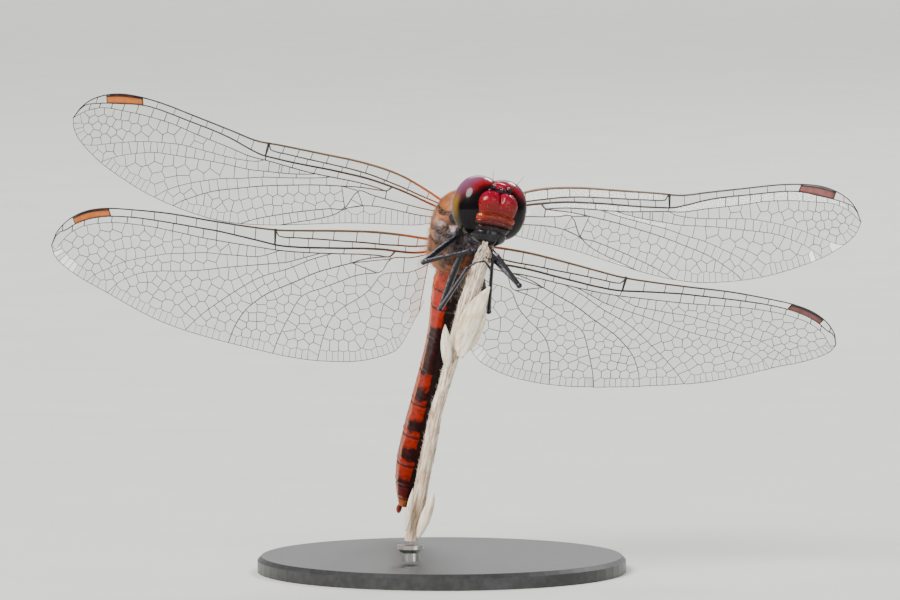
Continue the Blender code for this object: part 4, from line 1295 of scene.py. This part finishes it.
def build_tail():
    length = (TAIL_TIP - TAIL_BASE).length
    stretch = length / sum(row[0] for row in SEGMENTS)
    stations = [0.0]
    for row in SEGMENTS:
        stations.append(stations[-1] + row[0] * stretch)
    joints = stations[1:-1]
    wide = [(-WAIST, 1.25)] + list(zip(stations, [row[1] for row in SEGMENTS] + [0.62]))
    high = [(-WAIST, 1.2)] + list(zip(stations, [row[2] for row in SEGMENTS] + [0.55]))

    def point(row, angle):
        place, width, height, ring_swell = row
        out, up = math.cos(angle), math.sin(angle)
        ridge = 0.07 * bell(out, 0.0, 0.1) * (up > 0)
        keel = 0.05 * bell(abs(out), 0.8, 0.1) * (up < 0)
        furrow = -0.1 * bell(out, 0.0, 0.22) * (up < 0)
        swell = ring_swell + ridge + keel + furrow
        p = Vector((width * out * swell, -place, height * up * swell))
        p += Vector((out, 0, up)) * 0.02 * noise.noise(p * 3.0)
        return TAIL @ p

    rows = []
    for i in range(TAIL_ROWS + 1):
        place = (length + WAIST) * i / TAIL_ROWS - WAIST
        groove = sum(bell(place, joint, 0.1) for joint in joints)
        collar = sum(bell(place, joint - 0.28, 0.14) for joint in joints)
        rows.append((place, along(wide, place), along(high, place), 1 - 0.055 * groove + 0.028 * collar))
    skin = Shape()
    skin.loft(rows, 64, point)
    skin.make("tail_skin", [tail_material(joints)], "abdomen", tuple(f"abdomen_s{n}" for n in range(1, 11)),
              place=TAIL @ Matrix.Rotation(math.radians(TAIL_ROLL), 4, "Y"))
    tip = dark_shell("clasper", (0.2, 0.02, 0.01), 0.35)
    for side, name in SIDES:
        clasp = Shape()
        route = [(side * x, -length - y, z) for x, y, z in CLASPER_ROUTE]
        path = [TAIL @ Vector(p) for p in smooth_path(route, 4)]
        clasp.tube(path, CLASPER_RADII, 12)
        clasp.make(f"clasper_{name}", [tip], "abdomen", (f"cercus_{name}",), place=TAIL)


# ---- build: legs ----

# hip in the thorax's frame, then knee, ankle and the foot's joints down to the claws
LEGS = {
    "foreleg_right": ((1.05, 2.9, -2.2), (1.3, -6.7, 29.0), (1.0, -7.0, 27.5),
                      ((1.05, -7.3, 27.0), (1.25, -7.6, 26.5))),
    "foreleg_left": ((-0.95, 2.55, -2.0), (3.9, -5.1, 29.2), (4.4, -5.6, 27.0),
                     ((4.42, -6.0, 26.4), (4.4, -6.3, 25.9))),
    "midleg_right": ((0.4, 1.9, -2.9), (-1.35, -9.47, 24.14), (2.2, -9.4, 25.0),
                     ((2.75, -9.35, 25.0), (3.2, -9.2, 24.75), (3.5, -8.95, 24.35))),
    "midleg_left": ((-0.9, 1.9, -2.8), (5.77, -9.59, 22.4), (4.1, -9.5, 24.75),
                    ((3.75, -9.4, 25.15), (3.35, -9.15, 25.35), (2.9, -8.95, 25.15))),
    "hindleg_right": ((-0.25, 1.35, -2.95), (-0.09, -3.3, 20.25), (1.95, -9.2, 23.7),
                      ((2.55, -9.35, 24.1), (3.2, -9.3, 24.2), (3.55, -9.0, 23.75))),
    "hindleg_left": ((-1.05, 0.9, -2.85), (3.53, -3.3, 20.02), (3.82, -8.85, 24.45),
                     ((3.72, -9.2, 25.05), (3.4, -9.45, 25.35), (3.0, -9.5, 25.15))),
}

KNEE = 0.23                                    # radius
# a foot joint's radius along its length
FOOT_JOINT = ((0.0, 0.055), (0.3, 0.062), (0.6, 0.07), (0.9, 0.085), (1.0, 0.055))


def claws(limb, foot):
    """The two hooks at the end of a foot."""
    ahead = (foot[-1] - foot[-2]).normalized()
    side = ahead.orthogonal().normalized()
    down = Vector((0, 0.5, -0.9)).normalized()
    for way in (-1, 1):
        hook = [foot[-1], foot[-1] + ahead * 0.16 + side * way * 0.1,
                foot[-1] + ahead * 0.26 + side * way * 0.12 + down * 0.14]
        limb.tube([Vector(p) for p in smooth_path([tuple(h) for h in hook], 4)],
                  [0.05 - 0.0048 * i for i in range(9)], 6)


def limb_piece(name, hip, knee, foot, look):
    """Thigh, knee, shin and foot; the foot's points begin at the ankle."""
    limb = Shape()
    bend = (knee - hip).orthogonal().normalized() * 0.08
    thigh = [i / 14 for i in range(15)]
    limb.tube([hip.lerp(knee, t) + bend * math.sin(math.pi * t) for t in thigh],
              [0.21 + 0.06 * math.sin(math.pi * min(1, t * 1.15)) - 0.03 * t for t in thigh], 14)
    limb.add(*ellipsoid((0, 0, 0), (KNEE, KNEE, KNEE), Matrix.Translation(knee), 16, 12))
    shin = [i / 12 for i in range(13)]
    limb.tube([knee.lerp(foot[0], t) for t in shin],
              [0.175 - 0.05 * t + 0.025 * bell(t, 0.0, 0.12) for t in shin], 12)
    for a, b in zip(foot, foot[1:]):
        limb.tube([a.lerp(b, t) for t, _ in FOOT_JOINT], [radius for _, radius in FOOT_JOINT], 8)
    claws(limb, foot)
    limb.make(f"{name}_limb", [look], "leg", (f"{name}_femur", f"{name}_tibia"), place=THORAX)


def spines_piece(name, hip, knee, ankle, look):
    """Two rows of spines under the shin and two under the thigh."""
    spines = Shape()
    inner = (ankle - hip).cross(knee - hip).normalized()
    for start, end, size, count, reach in ((knee, ankle, 0.11, 15, 0.46), (hip, knee, 0.24, 12, 0.24)):
        ahead = (end - start).normalized()
        under = ahead.cross(inner).normalized()
        for i in range(count):
            t = 0.1 + 0.84 * i / (count - 1)
            for way in (-1, 1):
                out = (under * 0.75 + inner * way * 0.66).normalized()
                root = start.lerp(end, t) + out * size * 0.75
                tip = root + (out * 0.85 + ahead * 0.55) * reach * (0.8 + 0.4 * rng.random())
                spines.spike(root, tip, 0.018, (0.1 + 0.8 * t, 0.3 + 0.2 * (way > 0)))
    spines.make(f"{name}_spines", [look], "leg", place=THORAX, smooth=False, bake=True)


def build_legs():
    shell = leg_material()
    spine = Nodes("leg_spine", roughness=0.35, coat=0.3, colour=(0.02, 0.016, 0.016)).material
    for name, (hip, knee, ankle, toes) in LEGS.items():
        hip = THORAX @ Vector(hip)
        knee, *foot = [Vector(joint) for joint in (knee, ankle, *toes)]
        limb_piece(name, hip, knee, foot, shell)
        spines_piece(name, hip, knee, foot[0], spine)


# ---- build: hair ----

THORAX_HAIRS, TAIL_HAIRS, NECK_HAIRS, FACE_HAIRS = 5200, 900, 420, 90
FINE = 0.006                                   # radius of a hair of the thorax


def unwrap(along_share, round_share):
    """The OFBake place of a point given by its shares of the way along and round its piece."""
    return (0.02 + 0.96 * along_share, 0.02 + 0.96 * round_share)


def jitter(reach):
    return Vector([rng.uniform(-reach, reach) for _ in range(3)])


def thorax_hair(look):
    coat = Shape()
    sag = THORAX.to_3x3() @ Vector((0, -0.05, 0.0))
    for _ in range(THORAX_HAIRS):
        station, angle = rng.uniform(0.02, 0.98), rng.uniform(0, math.tau)
        p = thorax_point(station, angle)
        if p.z > 2.3 and rng.random() < 0.6:
            continue
        q = thorax_point(station, angle, 1.0)
        out = (q - p).normalized()
        comb = (out + Vector((0, -0.55, 0)) + jitter(0.35)).normalized()
        long = rng.uniform(0.24, 0.48) * (1.25 if p.z < -1 else 1.0)
        root, tip = THORAX @ (p - out * 0.03), THORAX @ (p + comb * long)
        coat.spike(root, tip, FINE, unwrap(station, angle / math.tau), HAIR_MARKS, sag)
    coat.make("thorax_fuzz", [look], "thorax", place=THORAX, smooth=False, bake=True)


def tail_hair(look):
    """The shaggy root of the tail."""
    shag = Shape()
    for _ in range(TAIL_HAIRS):
        place, angle = rng.uniform(-1.3, 1.2), rng.uniform(0, math.tau)
        root = Vector((1.28 * math.cos(angle), -place, 1.2 * math.sin(angle)))
        out = Vector((root.x, 0, root.z)).normalized()
        lead = (out * 0.6 + Vector((0, -0.9, 0)) + jitter(0.25)).normalized()
        shag.spike(TAIL @ root, TAIL @ (root + lead * rng.uniform(0.25, 0.55)), FINE,
                   unwrap((place + 1.3) / 2.5, angle / math.tau), HAIR_MARKS)
    shag.make("tail_fuzz", [look], "abdomen", place=TAIL, smooth=False, bake=True)


def head_hair(look):
    """A ruff round the back of the head, and a few fine hairs on the face."""
    tuft = Shape()
    for _ in range(NECK_HAIRS):
        angle = rng.uniform(0, math.tau)
        p = Vector((1.8 * math.cos(angle), -1.32 - rng.random() * 0.1, 0.05 + 1.3 * math.sin(angle)))
        out = Vector((p.x, -1.5, p.z)).normalized()
        tip = p + (out + jitter(0.3)) * rng.uniform(0.35, 0.75)
        spot = (0.25 + 0.2 * math.cos(angle), 0.5 + 0.3 * math.sin(angle))
        tuft.spike(HEAD @ p, HEAD @ tip, 0.009, spot, HAIR_MARKS)
    for _ in range(FACE_HAIRS):
        x, z = rng.uniform(-0.92, 0.92), rng.uniform(-1.7, 1.3)
        p = face_point(x, z)
        out = (face_point(x, z, 0.5) - p + Vector((0, 0, 0.15))).normalized()
        tip = p + (out + jitter(0.25)) * rng.uniform(0.1, 0.2)
        tuft.spike(HEAD @ p, HEAD @ tip, 0.0035, (0.75 + 0.1 * x, 0.5 + 0.15 * z), HAIR_MARKS)
    tuft.make("head_fuzz", [look], "face_dark", place=HEAD, smooth=False, bake=True)


def build_hair():
    fuzz = hair_material("thorax_hair", (0.17, 0.075, 0.03), (0.46, 0.28, 0.14))
    thorax_hair(fuzz)
    tail_hair(fuzz)
    head_hair(hair_material("head_hair", (0.26, 0.17, 0.11), (0.62, 0.52, 0.42)))


# ---- build: the dry stem ----

STEM_ROUTE = (
    (-2.33, -6.76, 3.0, 0.46), (-2.07, -6.78, 4.2, 0.48), (-1.7, -6.86, 6.1, 0.52),
    (-1.0, -7.05, 9.9, 0.5), (-0.35, -7.24, 12.9, 0.47), (0.33, -7.5, 15.2, 0.46),
    (0.93, -7.75, 17.4, 0.5), (1.52, -7.97, 19.7, 0.6), (2.27, -8.21, 22.0, 0.62),
    (2.88, -8.38, 23.8, 0.52), (3.24, -8.47, 24.9, 0.36))
# foot, tip, width, bow forward and lean sideways
SCALES = {
    "perch_husk_upper": (Vector((1.38, -8.85, 16.98)), Vector((3.58, -9.4, 22.3)), 1.6, 0.15, -0.34),
    "perch_husk_side": (Vector((0.41, -8.8, 16.16)), Vector((0.26, -9.15, 19.47)), 0.8, 0.1, 0.0),
    "perch_glume_right": (Vector((-1.77, -7.85, 3.33)), Vector((-0.5, -7.95, 6.8)), 0.8, 0.1, 0.0),
    "perch_glume_left": (Vector((-2.67, -7.75, 3.85)), Vector((-2.14, -7.85, 7.09)), 0.5, 0.05, 0.0),
}
SCALE_SHAPE = ((0.0, 0.3), (0.2, 0.8), (0.4, 1.0), (0.6, 0.94), (0.8, 0.62), (1.0, 0.06))
HUSK_CUP, HUSK_THICKNESS = 0.22, 0.05
SPLINTERS, TORN_FIBRES, DOWN_HAIRS = 46, 44, 1500


def husk(shape, foot, tip, width, bow, lean=0.0):
    """A thin leaf scale, cupped across and bowed forward, with a ribbed face."""
    lengthwise = (tip - foot).normalized()
    outward = Vector((0.0, -1.0, 0.0))
    outward = (outward - lengthwise * outward.dot(lengthwise)).normalized()
    sideways = lengthwise.cross(outward)
    rings = []
    for i in range(25):
        share = i / 24
        size = along(SCALE_SHAPE, share)
        centre = foot.lerp(tip, share) + (outward * bow + sideways * lean) * math.sin(math.pi * share)
        ring = []
        for k in range(24):
            front = k < 12
            u = (k / 11 if front else (23 - k) / 11) * 2 - 1
            rib = 0.018 * math.cos(u * 15) * size
            dish = -HUSK_CUP * u * u * size
            curl = 0.05 * noise.noise(Vector((u * 1.4, share * 4, width)))
            depth = dish + curl + (rib + HUSK_THICKNESS if front else 0.0)
            ring.append(centre + sideways * (u * width / 2 * size) + outward * depth)
        rings.append(ring)
    shape.rings(rings)


def splinters(stem, path):
    """Along the upper end of the stem, where the ear of the grass has frayed."""
    for _ in range(SPLINTERS):
        row = path[rng.randrange(int(len(path) * 0.72), len(path) - 1)]
        angle = rng.uniform(0, math.tau)
        out = Vector((math.cos(angle), math.sin(angle), 0))
        root = Vector(row[:3]) + out * row[3] * 0.85
        lead = Vector((0.33, -0.08, 1.0)).normalized()
        tip = root + lead * rng.uniform(0.5, 1.4) + out * rng.uniform(0.05, 0.22)
        mid = root.lerp(tip, 0.5) + out * 0.06
        stem.tube([root, mid, tip], [rng.uniform(0.05, 0.11), 0.06, 0.012], 5, flat=0.5)


def torn_fibres(stem):
    """They lift off the tip of the stem and bend forward past the lips."""
    for _ in range(TORN_FIBRES):
        across, drop = rng.uniform(-1, 1), rng.random()
        low = Vector((2.75 - 0.5 * drop, -8.36 + 0.2 * drop, 23.6 - 1.6 * drop))
        root = low + Vector((0.48 * across, -0.46 * math.sqrt(1 - 0.9 * across * across), 0.0))
        mid = Vector((2.94 + 0.46 * across, -9.02 + 0.15 * abs(across), 24.2 + 0.3 * rng.random()))
        rise = rng.uniform(0.25, 1.0) * (1 - 0.6 * across * across)
        tip = Vector((3.12 + 0.46 * across + 0.1 * rise, -9.4 - 0.5 * rise, 24.6 + 1.35 * rise))
        fibre = [Vector(p) for p in smooth_path([tuple(root), tuple(mid), tuple(tip)], 7)]
        thick = rng.uniform(0.07, 0.15)
        stem.tube(fibre, [thick * (0.4 + 1.6 * k / len(fibre)) * (1 - (k / len(fibre)) ** 1.6)
                          for k in range(len(fibre))], 6, flat=0.5)


def build_straw(path):
    """The ribbed stem with its frayed end."""
    def point(row, angle):
        here = Vector(row[:3])
        rib = 0.035 * math.cos(angle * 9 + here.z * 0.25) + 0.018 * math.cos(angle * 17 + here.z * 0.5)
        lump = 0.12 * noise.noise(Vector((math.cos(angle) * 1.2, math.sin(angle) * 1.2, here.z * 0.45)))
        r = row[3] * (1 + rib * 1.4 + lump)
        return here + Vector((math.cos(angle), math.sin(angle), 0.0)) * r

    stem = Shape()
    stem.loft(path, 48, point)
    splinters(stem, path)
    torn_fibres(stem)
    stem.make("perch_straw", [straw_material()], "straw", ("perch_stem",), place=axes(Vector(), *squared(
        Vector((0, 1, 0)), Vector((0.26, -0.07, 1.0)))))


def build_scales():
    """The dry scales; the upper one has two more leaves under it."""
    scale = husk_material()
    for name, (foot, tip, width, bow, lean) in SCALES.items():
        leaf = Shape()
        husk(leaf, foot, tip, width, bow, lean)
        if name == "perch_husk_upper":
            husk(leaf, foot + Vector((-0.25, 0.15, 0.5)), tip + Vector((-0.95, 0.25, -1.7)), 1.2, 0.2)
            husk(leaf, foot + Vector((0.3, 0.25, 0.3)), tip + Vector((-0.25, 0.3, -1.6)), 1.1, 0.1)
        leaf.make(f"{name}_leaf", [scale], "straw", (name,), place=axes(foot, *squared(
            Vector((0, 1, 0)), tip - foot)))


def build_down(path):
    """Short pale hairs on the stem."""
    down = hair_material("straw_down", (0.62, 0.5, 0.34), (0.9, 0.84, 0.72))
    fringe = Shape()
    for _ in range(DOWN_HAIRS):
        row = path[rng.randrange(4, len(path) - 2)]
        angle = rng.uniform(0, math.tau)
        out = Vector((math.cos(angle), math.sin(angle), 0))
        root = Vector(row[:3]) + out * row[3] * 0.97
        lead = out * 0.8 + Vector((0.2, 0, 0.9)) + jitter(0.3)
        tip = root + lead.normalized() * rng.uniform(0.12, 0.34)
        spot = (0.02 + 0.96 * angle / math.tau, 0.02 + 0.95 * row[2] / 25.0)
        fringe.spike(root, tip, 0.01, spot, HAIR_MARKS)
    fringe.make("perch_down", [down], "straw", place=THORAX, smooth=False, bake=True)


def build_stem():
    path = smooth_path(STEM_ROUTE, 12)
    build_straw(path)
    build_scales()
    build_down(path)


# ---- build: stand, floor, light and camera ----

def build_stand():
    """Finishes for the two solids of the stand, which keep their own shapes."""
    paint = Nodes("stand_paint", roughness=0.42, specular=0.4, coat=0.15, coat_roughness=0.3)
    spot = paint.node("ShaderNodeTexCoord").outputs["Object"]
    grain = paint.noise(1800.0, 3.0, spot)
    paint.colour(paint.mix(paint.span(grain, 0.35, 0.7), (0.02, 0.02, 0.022), (0.034, 0.034, 0.036)))
    paint.bump(grain, 0.15, 0.02)
    steel = Nodes("rod_steel", roughness=0.28, metallic=1.0)
    lathe = steel.node("ShaderNodeTexCoord").outputs["Object"]
    turned = steel.node("ShaderNodeTexWave", bands_direction="Z")
    turned.inputs["Scale"].default_value = 9000.0
    turned.inputs["Distortion"].default_value = 1.5
    steel.link(lathe, turned.inputs["Vector"])
    steel.colour(steel.mix(turned.outputs["Fac"], (0.52, 0.51, 0.49), (0.64, 0.63, 0.61)))
    steel.bump(turned.outputs["Fac"], 0.2, 0.01)
    for node, material in (("stand_base", paint.material), ("stand_rod", steel.material)):
        for place in bpy.data.objects[node].material_slots:
            place.material = material


# in metres: how far the floor is flat, and the radius of its upturned rim
FLAT_FLOOR, RIM = 2.0, 1.0
CENTRE = (0.0, 0.0, 0.018)
# name, place, aim, width, power and colour of each lamp
LAMPS = (
    ("key", (-0.57, -0.72, 0.86), CENTRE, 0.66, 32.0, (1.0, 0.97, 0.92)),
    ("fill", (0.75, -0.9, 0.32), CENTRE, 0.66, 4.5, (0.93, 0.96, 1.0)),
    ("rim", (0.36, 0.6, 0.62), CENTRE, 0.24, 6.0, (1.0, 1.0, 1.0)),
    ("far", (0.1, 1.7, 1.2), (0.0, 1.75, 0.0), 1.4, 26.0, (1.0, 1.0, 1.0)),
)
LENS = 299.0
CAMERA_LIFT = math.radians(4.0)
CAMERA_DISTANCE = 0.558
CAMERA_AIM = Vector((0.627, -8.466, 21.237)) * MM


def build_floor():
    """A round floor whose far rim sweeps up, the same all the way round."""
    floor = Nodes("floor_card", roughness=0.85, specular=0.2)
    grain = floor.noise(60.0, 4.0, floor.node("ShaderNodeTexCoord").outputs["Object"])
    floor.colour(floor.mix(floor.span(grain, 0.3, 0.7), (0.6, 0.61, 0.58), (0.63, 0.64, 0.61)))
    profile = [(0.3, 0.0), (1.0, 0.0), (FLAT_FLOOR, 0.0)] + [
        (FLAT_FLOOR + RIM * math.sin(a), RIM * (1 - math.cos(a)))
        for a in (math.radians(5 * i) for i in range(1, 17))]
    around = 96
    verts = [(0.0, 0.0, 0.0)] + [
        (r * math.cos(math.tau * s / around), r * math.sin(math.tau * s / around), z)
        for r, z in profile for s in range(around)]
    faces = [(0, 1 + s, 1 + (s + 1) % around) for s in range(around)]
    for r in range(len(profile) - 1):
        for s in range(around):
            a, b = 1 + r * around + s, 1 + r * around + (s + 1) % around
            faces.append((a, a + around, b + around, b))
    mesh = bpy.data.meshes.new("floor")
    mesh.from_pydata(verts, [], faces)
    mesh.materials.append(floor.material)
    mesh.shade_smooth()
    ground = bpy.data.objects.new("floor", mesh)
    bpy.context.scene.collection.objects.link(ground)


def build_lamps():
    for name, place, aim, size, power, colour in LAMPS:
        light = bpy.data.lights.new(name, "AREA")
        light.shape = "DISK"
        light.size = size
        light.energy = power
        light.color = colour
        made = bpy.data.objects.new(name, light)
        made.location = place
        made.rotation_euler = (Vector(aim) - Vector(place)).to_track_quat("-Z", "Y").to_euler()
        made.visible_camera = False
        bpy.context.scene.collection.objects.link(made)


def build_sky():
    """The sky is brightest at the rim of the floor and fades upwards."""
    world = bpy.data.worlds.new("studio")
    world.use_nodes = True
    tree = world.node_tree
    spot, split = tree.nodes.new("ShaderNodeTexCoord"), tree.nodes.new("ShaderNodeSeparateXYZ")
    fade = tree.nodes.new("ShaderNodeMapRange")
    tree.links.new(spot.outputs["Generated"], split.inputs[0])
    tree.links.new(split.outputs["Z"], fade.inputs["Value"])
    tree.links.new(fade.outputs["Result"], tree.nodes["Background"].inputs["Strength"])
    for socket, value in (("From Min", 0.05), ("From Max", 0.7), ("To Min", 0.8), ("To Max", 0.2)):
        fade.inputs[socket].default_value = value
    tree.nodes["Background"].inputs["Color"].default_value = (0.8, 0.83, 0.85, 1.0)
    bpy.context.scene.world = world


def build_camera():
    view = bpy.data.cameras.new("camera")
    view.lens = LENS
    view.sensor_width = 36.0
    view.clip_start = 0.01
    view.clip_end = 10.0
    camera = bpy.data.objects.new("camera", view)
    away = Vector((0.0, -math.cos(CAMERA_LIFT), math.sin(CAMERA_LIFT)))
    camera.location = CAMERA_AIM + away * CAMERA_DISTANCE
    camera.rotation_euler = (-away).to_track_quat("-Z", "Y").to_euler()
    bpy.context.scene.collection.objects.link(camera)
    bpy.context.scene.camera = camera


build_floor()
build_lamps()
build_sky()
build_camera()
build_wings()
build_head()
build_thorax()
build_tail()
build_legs()
build_hair()
build_stem()
build_stand()
